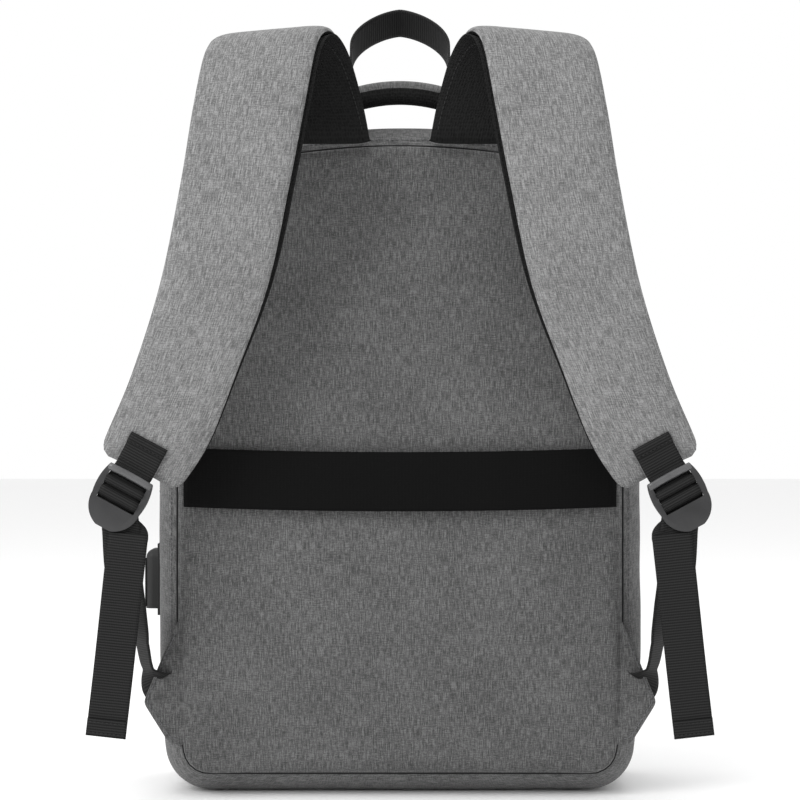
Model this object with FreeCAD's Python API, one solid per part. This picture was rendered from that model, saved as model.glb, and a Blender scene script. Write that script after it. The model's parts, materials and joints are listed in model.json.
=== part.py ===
"""Laptop backpack with a solar panel on its front, as separate solids.

Frame: +Z up, -Y towards the wearer (back panel and shoulder straps), +Y the
front with the solar panel, +X to the right as seen from the harness side.
The origin is the centre of the flat base. Units are millimetres.
"""
import FreeCAD
import Part
import math
import os

V = FreeCAD.Vector

# Body outline, seen from the back
HEIGHT = 434.0           # base to the top of the crown
CROWN = 5.0              # rise of the top edge between its round corners
TOP_R = 80.0             # round top corners
CORNER_R = 30.0          # round bottom corners
HALF_MID = 158.0         # half width along the upright part of the sides
BOTTOM_IN = 4.0          # the bottom corners alone would reach this much less
SHOULDER_IN = 14.0       # and the top corners this much less
SIDE_LOW = 95.0          # the sides are upright from here
SIDE_HIGH = 300.0        # to here

# Depths along Y
Y_BACK = -65.0           # face of the back panel
PAD_DEPTH = 8.0          # back panel, face to seam
BULGE_DEPTH = 21.0       # seam to where the gusset is full width
REAR_DEPTH = 37.0        # full-width part of the rear gusset
ZIP_GAP = 10.0           # between the rear gusset and the lid gusset
LID_DEPTH = 37.0         # lid gusset
FRONT_THICK = 4.0        # padded front panel
POCKET_DEPTH = 16.0      # front pocket
SEAM_INSET = 14.0        # outline shrinks by this at the back seam
FRONT_EDGE = 3.0         # and by this at the front panel's face, its soft edge
FACE_INSET = 5.0         # further shrink of the back panel's face, its soft edge

# Cloth, foam and board
WALL = 3.0               # gusset: face cloth, thin foam and lining together
COVER = 1.2              # back panel's face cloth
COVER_SIDE = 2.0         # and its piped side
BOARD = 1.4              # stiffener boards
LINING = 1.0
LINING_IN = 1.2          # lining's edge, inside the gusset
PANEL_CLEAR = 1.0        # loose pieces end this far behind the lid's front panel
CLEAR = 0.15             # between nested layers of one body
RUN = 0.5                # between pieces that move apart
FOLD_Z = 42.0            # height of the lid's fold line

# Zips
TAPE = 0.8
TAPE_UNDER = 5.0         # tape sewn under the gusset
COIL_W = 1.9
COIL_H = 1.5
COIL_GAP = 1.2           # between the two coils, where the slider's post runs
SLIDER_LEN = 11.0
SLIDER_W = ZIP_GAP - 2 * RUN
PLATE = 1.6              # slider's plates
PLATE_R = 1.2            # their round corners
PLATE_GAP = 0.3          # between the plates and what runs between them
POST = 0.7               # slider's post, thinner than COIL_GAP
POST_LEN = 4.0
BAIL_R = 2.4             # slider's bail, outside
BAIL_W = 1.4
PIN_R = 0.8              # puller's cross bar in the bail
PIN_OFF = 1.6            # its axis above the slider's plate
PIN_FIT = 0.08
PIN_IN = 1.0             # its ends, inside the puller's sides
PULLER_LEN = 26.0
PULLER_W = 7.0
PULLER_T = 1.5
PULLER_R = 2.0           # puller's round end
PULLER_OVER = 0.2        # puller beyond its cross bar
BAIL_ROOM = 0.6          # round the bail, in the puller's fork
LOWER_SLIDER_Z = 194.0
SLIDER_PITCH = 40.0      # upper slider above the lower one, room for its puller between

# Webbing
WEB = 25.0
WEB_T = 1.5
LUGGAGE_WEB = 38.0
LUGGAGE_Z = 205.0        # middle of the luggage strap
LUGGAGE_STAND = 6.3      # it stands off the back panel by this at its middle
LUGGAGE_T = 1.4
LUGGAGE_SHORT = 1.0      # its ends, inside the back panel's soft edge

# Shoulder straps: centre line of the padded ribbon, seen from the side, as
# (Y from the back panel's face, Z from the top of the body).
STRAP_SIDE = ((-3.4, -13.0), (-5.0, 14.0), (-15.0, 38.0), (-35.0, 48.5), (-55.0, 38.0),
              (-64.5, 4.0), (-66.0, -45.0), (-59.0, -107.0), (-46.0, -163.0),
              (-36.5, -205.0), (-33.5, -231.0), (-33.5, -258.0))
# Edges of the part that hangs in front, seen from the back: (X from the body's side, Z from the top).
STRAP_OUTER = ((-44.0, 58.0), (-37.5, 40.0), (-32.0, 14.0), (-26.3, -24.0), (-16.5, -81.0),
               (-1.5, -135.0), (17.0, -184.0), (26.0, -208.0))
STRAP_INNER = ((-19.5, -234.0), (-36.0, -209.0), (-51.5, -172.0), (-68.0, -132.0),
               (-83.0, -87.0), (-93.5, -24.0), (-101.0, 12.0), (-107.0, 40.0), (-112.0, 58.0))
STRAP_TIP = ((22.0, -216.0), (-9.0, -236.0))
# Edges of the part that rises from the seam to the crest.
RISE_OUTER = ((-73.0, -32.0), (-73.0, -13.0), (-59.0, 30.0), (-44.0, 58.0))
RISE_INNER = ((-112.0, 58.0), (-126.5, 33.0), (-136.5, -3.0), (-139.5, -32.0))
PAD_FACE = 5.0           # face side of the ribbon from its centre line
PAD_BACK = 3.3           # foam, towards the wearer
MESH_T = 1.5             # spacer mesh behind the foam
ROOT_SHARE = 0.3         # of the full thickness at the sewn root
ROOT_TAPER = 20.0        # length over which the foam comes to full thickness
STRAP_SWING_Y = -3.4     # swing axis, from the back panel's face
STRAP_SWING_Z = -13.0    # and from the top of the body

# Ladder-lock buckles
BAR_OUT = 11.2           # middle of the top bar, outside the body's side
BAR_DROP = 227.0         # below the top of the body
BUCKLE_TILT = 28.5       # degrees from upright, bottom outwards
BUCKLE_LEN = 38.0
RAIL = 3.3               # its side rails
BUCKLE_T = 3.6
BAR_R = 1.9
BAR_RIM = BAR_R + 0.6     # bar's axis to the top edge of the buckle
LOOP_CLEAR = 0.35
SLOT_CLEAR = 1.4         # slots are wider than the webbing by this
SLOT_H = 3.6
CROSS_BAR = 4.0
WINDOW_ROOM = 0.8        # below the webbing loop, in the top window
CORNER_IN = 1.5          # buckle's top corners
CHEEK = 0.6              # its sides bow out by this, this far below the top
CHEEK_DROP = 9.0
TAB_SHARE = 0.3          # thumb tab's flat end, of the buckle's width
TAB_LEN = 17.1           # from where the sides turn in to the tab's end
TAB_BOW = (0.72, 4.5)    # the turned-in side's middle: share of the half width, height
BAR_IN = 1.5             # bar's ends, into the rails
PATCH_UP = 25.0          # webbing patch on the strap, above the bar
TAIL_LEN = 127.5
TAIL_OUT = 1.0           # its middle, outside the top bar's
TAIL_TILT = 6.3          # degrees, bottom outwards
TAIL_GAP = 0.8           # the free tail starts this far below the thumb tab's lowest corner
HEM = 12.0

# Anchor wings at the foot of the back seam: (X from the body's side, Z)
WING = ((-28.0, 119.0), (-17.0, 118.0), (-5.0, 91.0), (8.0, 60.0), (-9.0, 33.0), (-28.0, 33.0))
WING_T = 3.0
WING_Y = 4.0             # its near side, behind the back panel's face
# Edges of the lower webbing, (X from the body's side, Z): its sewn end behind the wing's slanted
# edge with Z from the base, and its upper end with Z from the buckle's bar.
LOWER_OUTER = ((8.0, 58.0), (19.0, 78.0), (23.0, 108.0))
LOWER_INNER = ((0.5, 56.0), (-11.0, 88.0), (-4.5, 94.0), (-2.0, 112.0))
UPPER_OUTER = ((23.0, -61.0), (22.0, -24.0))
UPPER_INNER = ((-1.5, -61.0), (-2.5, -24.0))

# Handles on the top
HANDLE_Y = -28.0
HANDLE_HALF = 56.0
HANDLE_RISE = 24.5       # centre of the grip above the top
GRIP_T = 17.0
GRIP_OVER = 1.0          # the grip is deeper than the webbing in it, at each edge
GRIP_HALF = 40.0
GRIP_R = 4.5
HANDLE_LEG = 3.0         # upright start of the handle's webbing
HANDLE_WEB_IN = 3.0      # its webbing is folded in by this on each edge
HOOK_LOOP_Y = -12.0
HOOK_LOOP_HALF = 34.0
HOOK_LOOP_LEG = 59.0
HOOK_LOOP_LEAN = 36.0    # degrees, top towards the front
FOOT = 8.0               # a loop's webbing is gathered to this width where it is sewn down
GATHER = 16.0            # over this length
FOOT_GAP = 6.4           # swing axis above the anchor patch
ANCHOR_T = 2.0
ANCHOR_LEN = 16.0
ANCHOR_IN = 2.0          # patch reaches this far inside the handle's end
ANCHOR_NARROW = (4.0, 2.0)   # narrower than the webbing: handle's, hook loop's

# Charging port on the left side
PORT_W = 24.0
PORT_H = 39.0
PORT_OUT = 10.0
PORT_Y = -18.0
PORT_Z = 118.0           # its mouth
PORT_R = 5.6             # its round edges
FLANGE = 4.0             # sewn flange round the housing
FLANGE_T = 1.6
MOUTH_IN = 0.6           # the socket, nearer the body than the housing's middle
SOCKET_IN = 0.4          # and its mouth above the housing's
USB_W, USB_H, USB_DEEP = 13.1, 5.7, 14.0
USB_SHEET = 0.3
TONGUE = (11.0, 1.8, 9.0)

# Inside
DIVIDER_T = 5.0
DIVIDER_Y = -42.0
DIVIDER_TOP = 330.0
DIVIDER_INSET = 16.0
BATTERY = (18.0, 30.0, 110.0)    # battery pocket, X, Y, Z
BATTERY_Z = 60.0
POCKET_CLOTH = 1.2
BATTERY_IN = 1.0         # its room, from the side wall
BATTERY_Y = 2.0          # and its start, in front of the full width
ORGANISER = (200.0, 10.0, 170.0)
ORGANISER_Z = 60.0
RETAINER_WEB = 38.0
RETAINER_Z = 345.0
RETAINER_UP = 25.0       # sewn end on the lining
RETAINER_DOWN = 55.0     # hook-and-loop end on the divider

# Front pocket and solar panel
POCKET_INSET = 14.0
POCKET_Z = 56.0
POCKET_WALL = 2.0
POCKET_ZIP_Z = 105.0
POCKET_ZIP_HALF = 100.0
POCKET_SLOT = ZIP_GAP
POCKET_PARK = 14.0       # slider, from the end of the zip
POCKET_EDGE = 3.0        # pocket's soft front edge
TAPE_OVER = 3.0          # tape beyond the pocket's slot at each end
COIL_SHORT = 1.0         # coil, inside the slot's ends
SOLAR_HALF = 98.0
SOLAR_H = 244.0
SOLAR_Z = 135.0
SOLAR_T = 2.0
SOLAR_R = 3.0
BINDING_W = 11.0
BINDING_T = 3.0
CELL_COLS, CELL_ROWS = 3, 4
CELL_GAP = 3.0
CELL_MARGIN = 3.0
CELL_T = 0.4
CELL_CUT = 5.0
CASE = (60.0, 9.0, 72.0)         # charge controller
CASE_WALL = 1.6
CASE_TOP_GAP = 10.0
COVER_T = 1.4
SCREW_R = 1.2
SCREW_FIT = 0.03
SCREW_LEN = 6.0
SCREW_HEAD_R = 2.2
SCREW_HEAD = 1.0
SCREW_IN = 5.0           # screw's axis from the case's sides

# Worked out from the above
HALF_BOTTOM = HALF_MID - BOTTOM_IN
HALF_SHOULDER = HALF_MID - SHOULDER_IN
BAR_X = HALF_MID + BAR_OUT
BAR_Z = HEIGHT - BAR_DROP
SLOT_W = WEB + SLOT_CLEAR
BUCKLE_W = SLOT_W + 2 * RAIL
ZIP_END = FOLD_Z + ZIP_GAP / 2
Y_SEAM = Y_BACK + PAD_DEPTH
Y_FULL = Y_SEAM + BULGE_DEPTH
Y_REAR = Y_FULL + REAR_DEPTH
Y_LID = Y_REAR + ZIP_GAP
Y_PANEL = Y_LID + LID_DEPTH
INNER_Y = Y_PANEL - PANEL_CLEAR
Y_FRONT = Y_PANEL + FRONT_THICK
Y_FACE = Y_FRONT + POCKET_DEPTH
Y_ZIP = (Y_REAR + Y_LID) / 2
SHOULDER_Z = HEIGHT - CROWN - TOP_R
BOOT_Z = FOLD_Z - ZIP_GAP / 2
BIG = 2.0 * HEIGHT
TURN_X = V(1, 0, 0)
ZERO = V(0, 0, 0)


def box(x0, x1, y0, y1, z0, z1):
    """A block between two corners."""
    return Part.makeBox(x1 - x0, y1 - y0, z1 - z0, V(x0, y0, z0))


def join_radius(across, along, r):
    """Radius of the arc from a flat edge onto a corner of radius r, tangent to both.

    across and along lead from the corner's centre to where the arc leaves the flat.
    """
    return (across ** 2 + along ** 2 - r ** 2) / (2 * (across - r))


def arcs():
    """Right half of the outline from the base up: (centre X, centre Z, radius, from, to)."""
    low_x, low_z = HALF_BOTTOM - CORNER_R, CORNER_R
    top_x, top_z = HALF_SHOULDER - TOP_R, SHOULDER_Z
    r_low = join_radius(HALF_MID - low_x, SIDE_LOW - low_z, CORNER_R)
    r_high = join_radius(HALF_MID - top_x, SIDE_HIGH - top_z, TOP_R)
    r_crown = join_radius(HEIGHT - top_z, top_x, TOP_R)
    a_low = math.atan2(low_z - SIDE_LOW, low_x - HALF_MID + r_low)
    a_high = math.atan2(top_z - SIDE_HIGH, top_x - HALF_MID + r_high)
    a_crown = math.atan2(top_z - HEIGHT + r_crown, top_x)
    return ((low_x, low_z, CORNER_R, -math.pi / 2, a_low), (HALF_MID - r_low, SIDE_LOW, r_low, a_low, 0.0),
            (HALF_MID - r_high, SIDE_HIGH, r_high, 0.0, a_high), (top_x, top_z, TOP_R, a_high, a_crown),
            (0.0, HEIGHT - r_crown, r_crown, a_crown, math.pi - a_crown))


def outline(y, inset):
    """The body's outline at a depth, shrunk evenly by inset."""
    def at(arc, angle):
        return V(arc[0] + (arc[2] - inset) * math.cos(angle), y, arc[1] + (arc[2] - inset) * math.sin(angle))

    def points(arc):
        return [at(arc, arc[3]), at(arc, (arc[3] + arc[4]) / 2), at(arc, arc[4])]

    *side, crown = [points(arc) for arc in arcs()]
    other = [[V(-p.x, p.y, p.z) for p in reversed(arc)] for arc in reversed(side)]
    chain = side + [crown] + other
    edges = []
    for arc, after in zip(chain, chain[1:] + chain[:1]):
        edges.append(Part.Arc(*arc).toShape())
        if arc[2].distanceToPoint(after[0]) > 1e-6:
            edges.append(Part.makeLine(arc[2], after[0]))
    return Part.Wire(edges)


def taper(y):
    """How far the outline has shrunk at a depth."""
    return SEAM_INSET * max(0.0, Y_FULL - y) / BULGE_DEPTH


def depths(y0, y1):
    """Sections (y, inset) of the plain body between two depths."""
    return [(y, taper(y)) for y in sorted({y0, y1} | ({Y_FULL} if y0 < Y_FULL < y1 else set()))]


def body(sections):
    """A solid through outlines given as (y, inset)."""
    return Part.makeLoft([outline(y, inset) for y, inset in sections], True, True)


def ring(sections, outer, inner):
    """The wall between two shrinks of the same sections."""
    return body([(y, i + outer) for y, i in sections]).cut(body([(y, i + inner) for y, i in sections]))


def above(shape, z):
    """The part of a shape above a height."""
    return shape.common(box(-BIG, BIG, -BIG, BIG, z, BIG))


def below(shape, z):
    """The part of a shape below a height."""
    return shape.common(box(-BIG, BIG, -BIG, BIG, -BIG, z))


def mirrored(shape):
    """The same shape on the other side."""
    return shape.mirror(ZERO, TURN_X)


# ---------------------------------------------------------------- back panel
def back_panel():
    """Face cloth as a tray, the foam and the board in it, and the lining behind."""
    rim = Y_BACK + FACE_INSET
    inner = SEAM_INSET + FACE_INSET + COVER_SIDE
    cover = body([(Y_BACK, SEAM_INSET + FACE_INSET), (rim, SEAM_INSET), (Y_SEAM, SEAM_INSET)])
    cover = cover.cut(body([(Y_BACK + COVER, inner), (Y_SEAM + 1, inner)]))
    fit = inner + CLEAR
    board_y = Y_SEAM - CLEAR - BOARD
    foam = body([(Y_BACK + COVER + CLEAR, fit), (board_y - CLEAR, fit)])
    board = body([(board_y, fit), (Y_SEAM - CLEAR, fit)])
    lining_inset = SEAM_INSET + WALL + LINING_IN
    lining = body([(Y_SEAM + CLEAR, lining_inset), (Y_SEAM + CLEAR + LINING, lining_inset)])
    return {"back_panel_cover": cover, "back_panel_foam": foam, "back_stiffener_board": board,
            "back_lining": lining}


def luggage_strap():
    """Elastic webbing bowed off the back panel, between the side seams."""
    half = HALF_MID - SEAM_INSET - FACE_INSET - LUGGAGE_SHORT
    near = Y_BACK - CLEAR
    mid_in = near - LUGGAGE_STAND
    ends = [V(-half, near, 0), V(half, near, 0)]
    inner = Part.Arc(ends[0], V(0, mid_in, 0), ends[1]).toShape()
    back = [e - V(0, LUGGAGE_T, 0) for e in ends]
    outer = Part.Arc(back[1], V(0, mid_in - LUGGAGE_T, 0), back[0]).toShape()
    sides = [Part.LineSegment(ends[1], back[1]).toShape(), Part.LineSegment(back[0], ends[0]).toShape()]
    face = Part.Face(Part.Wire([inner, sides[0], outer, sides[1]]))
    strap = face.extrude(V(0, 0, LUGGAGE_WEB))
    strap.translate(V(0, 0, LUGGAGE_Z - LUGGAGE_WEB / 2))
    return {"luggage_strap": strap}


# ------------------------------------------------------------- gusset and boot
def shell():
    """Rear gusset, bottom boot, lid gusset and front panel."""
    face = body([(Y_PANEL, 0.0), (Y_FRONT - FRONT_EDGE, 0.0), (Y_FRONT, FRONT_EDGE)])
    boot = below(ring(depths(Y_SEAM, Y_PANEL), 0, WALL), BOOT_Z).fuse(below(face, FOLD_Z - RUN))
    half = HALF_BOTTOM - CORNER_R
    board = box(-half, half, Y_FULL, INNER_Y, WALL + CLEAR, WALL + CLEAR + BOARD)
    return {"rear_gusset": above(ring(depths(Y_SEAM, Y_REAR), 0, WALL), BOOT_Z),
            "bottom_boot": boot.removeSplitter(), "base_stiffener_board": board,
            "lid_gusset": above(ring(depths(Y_LID, Y_PANEL), 0, WALL), ZIP_END),
            "lid_front_panel": above(face, FOLD_Z + RUN)}


def zip_side(y0, y1, low, high, outer, inner):
    """One half of the main zip: over the top and down both sides, then forward along the fold."""
    upright = above(ring(depths(y0, y1), outer, inner), low)
    level = ring(depths(y0, INNER_Y), outer, inner)
    level = below(above(level, low), high)
    return upright.fuse(level).removeSplitter()


def main_zip():
    """Tapes and coils of the main zip, one half on the pack and one on the lid."""
    edge = COIL_GAP / 2
    near, far = Y_ZIP - edge, Y_ZIP + edge
    under, over = FOLD_Z - edge, FOLD_Z + edge
    tape = (WALL + CLEAR, WALL + CLEAR + TAPE)
    coil = (WALL - COIL_H, WALL)
    reach = ZIP_GAP / 2 + TAPE_UNDER
    return {"rear_zip_tape": zip_side(Y_ZIP - reach, near, FOLD_Z - reach, under, *tape),
            "rear_zip_coil": zip_side(near - COIL_W, near, under - COIL_W, under, *coil),
            "lid_zip_tape": zip_side(far, Y_ZIP + reach, over, FOLD_Z + reach, *tape),
            "lid_zip_coil": zip_side(far, far + COIL_W, over, over + COIL_W, *coil)}


# ------------------------------------------------------------------ sliders
def slider_and_puller():
    """A slider lying on the XZ plane's -X side at the origin: X is outwards (negative), Z along the zip.

    X = 0 is the outer face of the coils, so the top plate stands at negative X.
    """
    half_l, half_w = SLIDER_LEN / 2, SLIDER_W / 2
    gap, mid = PLATE_GAP, PLATE / 2
    under = COIL_H + CLEAR + TAPE + gap
    top = box(-gap - PLATE, -gap, -half_w, half_w, -half_l, half_l)
    top = top.makeFillet(PLATE_R, [e for e in top.Edges if abs(e.Length - PLATE) < 1e-6])
    low = box(under, under + PLATE, -half_w, half_w, -half_l, half_l)
    low = low.makeFillet(PLATE_R, [e for e in low.Edges if abs(e.Length - PLATE) < 1e-6])
    post = box(-gap - mid, under + mid, -POST / 2, POST / 2, -half_l, POST_LEN - half_l)
    pivot = V(-gap - PLATE - PIN_OFF, 0, 0)
    bail = Part.makeCylinder(BAIL_R, BAIL_W, V(pivot.x, -BAIL_W / 2, 0), V(0, 1, 0))
    bail = bail.cut(Part.makeCylinder(PIN_R + PIN_FIT, BAIL_W * 2, V(pivot.x, -BAIL_W, 0), V(0, 1, 0)))
    bail = bail.common(box(-BIG, -gap - mid, -BIG, BIG, -BIG, BIG))
    slider = top.fuse([low, post, bail]).removeSplitter()
    tab = box(pivot.x - PULLER_T / 2, pivot.x + PULLER_T / 2, -PULLER_W / 2, PULLER_W / 2,
              -PULLER_LEN, PIN_R + PULLER_OVER)
    low_edges = [e for e in tab.Edges if abs(e.Length - PULLER_T) < 1e-6 and e.CenterOfMass.z < 0]
    tab = tab.makeFillet(PULLER_R, low_edges)
    room = BAIL_W / 2 + BAIL_ROOM
    window = box(pivot.x - PULLER_T, pivot.x + PULLER_T, -room, room, -BAIL_R - BAIL_ROOM, BIG)
    tab = tab.cut(window)
    pin = Part.makeCylinder(PIN_R, PULLER_W - 2 * PIN_IN, V(pivot.x, PIN_IN - PULLER_W / 2, 0), V(0, 1, 0))
    return slider, tab.fuse(pin).removeSplitter()


def place_side(shape, z):
    """Stand a slider or puller on the left side's zip at a height."""
    placed = shape.copy()
    placed.translate(V(-HALF_MID + WALL - COIL_H, Y_ZIP, z))
    return placed


def main_sliders():
    """Two sliders on the left side, noses towards each other, each with its puller."""
    slider, puller = slider_and_puller()
    upper_z = LOWER_SLIDER_Z + SLIDER_PITCH
    nose_up = slider.mirror(ZERO, V(0, 0, 1))
    return {"lower_zip_slider": place_side(nose_up, LOWER_SLIDER_Z),
            "lower_zip_puller": place_side(puller, LOWER_SLIDER_Z),
            "upper_zip_slider": place_side(slider, upper_z),
            "upper_zip_puller": place_side(puller, upper_z)}


# ------------------------------------------------------------------- straps
def spline(points):
    """A smooth curve through points."""
    curve = Part.BSplineCurve()
    curve.interpolate(points)
    return curve


def strap_line():
    """Centre line of the strap, in the plane X = 0."""
    return spline([V(0, Y_BACK + y, HEIGHT + z) for y, z in STRAP_SIDE])


def strap_layer(back, face):
    """The ribbon between two distances from the strap's centre line, across all X."""
    centre = strap_line()
    long = centre.length()
    count = 26

    def side(distance):
        points = []
        for i in range(count + 1):
            along = long * i / count
            at = centre.parameterAtDistance(along, centre.FirstParameter)
            tangent = centre.tangent(at)[0]
            normal = V(0, -tangent.z, tangent.y)
            share = min(1.0, ROOT_SHARE + (1 - ROOT_SHARE) * along / ROOT_TAPER)
            points.append(centre.value(at) - normal * (distance * share))
        return spline(points)

    low, high = side(back), side(face)
    edges = [low.toShape(),
             Part.makeLine(low.value(low.LastParameter), high.value(high.LastParameter)),
             high.toShape(),
             Part.makeLine(high.value(high.FirstParameter), low.value(low.FirstParameter))]
    return Part.Face(Part.Wire(Part.__sortEdges__(edges))).extrude(V(HALF_MID * 2, 0, 0))


def strap_plan(outer, tip, inner, y0, y1):
    """A prism along Y over an outline seen from the back."""
    def lift(points):
        return [V(HALF_MID + x, y0, HEIGHT + z) for x, z in points]
    top, low = spline(lift(outer)), spline(lift(inner))
    corners = [lift(outer)[-1], *lift(tip), lift(inner)[0]]
    edges = [top.toShape(), *[Part.makeLine(a, b) for a, b in zip(corners, corners[1:])], low.toShape(),
             Part.makeLine(lift(inner)[-1], lift(outer)[0])]
    return Part.Face(Part.Wire(Part.__sortEdges__(edges))).extrude(V(0, y1 - y0, 0))


def cut_strap(layer):
    """Trim a ribbon layer to the strap's plan, front and rising part."""
    crest = Y_BACK + STRAP_SIDE[3][0]
    far = Y_BACK - 2.0 * abs(STRAP_SIDE[6][0])
    front = strap_plan(STRAP_OUTER, STRAP_TIP, STRAP_INNER, far, crest)
    rise = strap_plan(tuple(reversed(RISE_OUTER)), (), tuple(reversed(RISE_INNER)), crest, Y_BACK + 10.0)
    return layer.common(front).fuse(layer.common(rise)).removeSplitter()


def buckle_frame(shape):
    """Move a shape from the buckle's own frame (X across, Z up, Y = 0 on the bar) to the right strap."""
    moved = shape.copy()
    moved.rotate(ZERO, V(0, 1, 0), -BUCKLE_TILT)
    moved.translate(V(BAR_X, bar_y(), BAR_Z))
    return moved


def bar_y():
    """Y of the buckle's top bar: the webbing loop's back lies on the strap's face."""
    line = Part.makeLine(V(0, Y_BACK - BIG, BAR_Z), V(0, Y_BACK, BAR_Z))
    strap_y = strap_line().toShape().distToShape(line)[1][0][0].y
    return strap_y - PAD_FACE - 2 * RUN - (BAR_R + LOOP_CLEAR + WEB_T)


def strap():
    """Right shoulder strap: foam pad in its face cloth, spacer mesh and webbing patch."""
    pad = cut_strap(strap_layer(-PAD_BACK, PAD_FACE))
    mesh = cut_strap(strap_layer(-PAD_BACK - CLEAR - MESH_T, -PAD_BACK - CLEAR))
    reach = BAR_R + LOOP_CLEAR + WEB_T
    sheet = strap_layer(PAD_FACE + CLEAR, PAD_FACE + CLEAR + WEB_T)
    plan = buckle_frame(box(-WEB / 2, WEB / 2, -BUCKLE_LEN, BUCKLE_LEN, 0.0, PATCH_UP))
    loop = Part.makeCylinder(reach, WEB, V(-WEB / 2, 0, 0), TURN_X)
    loop = loop.cut(Part.makeCylinder(BAR_R + LOOP_CLEAR, 2 * WEB, V(-WEB, 0, 0), TURN_X))
    patch = sheet.common(plan).fuse(buckle_frame(loop))
    return {"pad": pad, "mesh": mesh, "patch": patch.removeSplitter()}


def buckle():
    """Ladder-lock buckle: round top bar, two cross bars and a thumb tab."""
    half_w, t = BUCKLE_W / 2, BUCKLE_T
    top = BAR_RIM
    low = top - BUCKLE_LEN
    start = low + TAB_LEN
    corner, tab = half_w - CORNER_IN, half_w * TAB_SHARE
    bow_x, bow_z = half_w * TAB_BOW[0], low + TAB_BOW[1]
    edges = [Part.makeLine(V(-corner, 0, top), V(corner, 0, top)),
             Part.makeLine(V(tab, 0, low), V(-tab, 0, low))]
    for side in (-1, 1):
        cheek = V(side * (half_w + CHEEK), 0, top - CHEEK_DROP)
        edges.append(Part.Arc(V(side * corner, 0, top), cheek, V(side * half_w, 0, start)).toShape())
        bow = V(side * bow_x, 0, bow_z)
        edges.append(Part.Arc(V(side * half_w, 0, start), bow, V(side * tab, 0, low)).toShape())
    plate = Part.Face(Part.Wire(Part.__sortEdges__(edges))).extrude(V(0, t, 0))
    plate.translate(V(0, -t / 2, 0))
    # A wide window leaves the round bar free for the webbing loop.
    window_low = -(BAR_R + LOOP_CLEAR + WEB_T + WINDOW_ROOM)
    window = box(-SLOT_W / 2, SLOT_W / 2, -t, t, window_low, BIG)
    plate = plate.cut(window)
    bar = Part.makeCylinder(BAR_R, SLOT_W + 2 * BAR_IN, V(-SLOT_W / 2 - BAR_IN, 0, 0), TURN_X)
    z = window_low - CROSS_BAR
    for _ in range(2):
        plate = plate.cut(box(-SLOT_W / 2, SLOT_W / 2, -t, t, z - SLOT_H, z))
        z -= SLOT_H + CROSS_BAR
    frame = plate.fuse(bar).removeSplitter()
    return buckle_frame(frame)


def tail():
    """Free end of the webbing, hanging from under the thumb tab, with its folded hem."""
    web = box(-WEB / 2, WEB / 2, 0, WEB_T, -TAIL_LEN, 0)
    hem = box(-WEB / 2, WEB / 2, WEB_T, 2 * WEB_T, -TAIL_LEN, -TAIL_LEN + HEM)
    web = web.fuse(hem).removeSplitter()
    web.rotate(ZERO, V(0, 1, 0), -TAIL_TILT)
    tilt = math.radians(BUCKLE_TILT)
    corner = V(-BUCKLE_W / 2 * TAB_SHARE, 0, BAR_RIM - BUCKLE_LEN)
    rise = WEB / 2 * math.sin(math.radians(TAIL_TILT))
    drop = corner.x * math.sin(tilt) + corner.z * math.cos(tilt) - TAIL_GAP - rise
    web.translate(V(BAR_X + TAIL_OUT, bar_y() - WEB_T / 2, BAR_Z + drop))
    return web


def wing():
    """Three-cornered cloth anchor at the foot of the back seam."""
    points = [V(HALF_MID + x, Y_BACK + WING_Y, z) for x, z in WING]
    plate = Part.Face(Part.makePolygon(points + points[:1])).extrude(V(0, WING_T, 0))
    return plate.cut(body([(Y_BACK, SEAM_INSET - CLEAR), (Y_SEAM + CLEAR, SEAM_INSET - CLEAR)]))


def lower_webbing():
    """Webbing from behind the wing's slanted edge up to the buckle."""
    sewn = Y_BACK + WING_Y + WING_T + RUN
    top = bar_y() + WEB_T + RUN
    z_low = LOWER_INNER[0][1]
    rise = BAR_Z + UPPER_OUTER[-1][1] - z_low
    path = ((0.0, -0.1), (0.0, 0.28), (0.42, 0.55), (0.86, 0.84), (1.0, 1.1))
    near = spline([V(0, sewn + (top - sewn) * y, z_low + rise * z) for y, z in path])
    far = spline([V(0, sewn + WEB_T + (top - sewn) * y, z_low + rise * z) for y, z in path])
    ends = [(c.value(c.FirstParameter), c.value(c.LastParameter)) for c in (near, far)]
    edges = [near.toShape(), far.toShape(), Part.makeLine(ends[0][0], ends[1][0]),
             Part.makeLine(ends[0][1], ends[1][1])]
    ribbon = Part.Face(Part.Wire(Part.__sortEdges__(edges))).extrude(V(HALF_MID * 2, 0, 0))

    def lift(sewn_end, upper_end):
        points = sewn_end + tuple((x, BAR_Z + z) for x, z in upper_end)
        return [V(HALF_MID + x, Y_BACK - HEIGHT, z) for x, z in points]

    outer, inner = lift(LOWER_OUTER, UPPER_OUTER), lift(LOWER_INNER, UPPER_INNER)
    corners = [outer[-1], *reversed(inner), outer[0]]
    sides = [spline(outer).toShape()] + [Part.makeLine(a, b) for a, b in zip(corners, corners[1:])]
    plan = Part.Face(Part.Wire(Part.__sortEdges__(sides))).extrude(V(0, 2 * HEIGHT, 0))
    return ribbon.common(plan)


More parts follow.
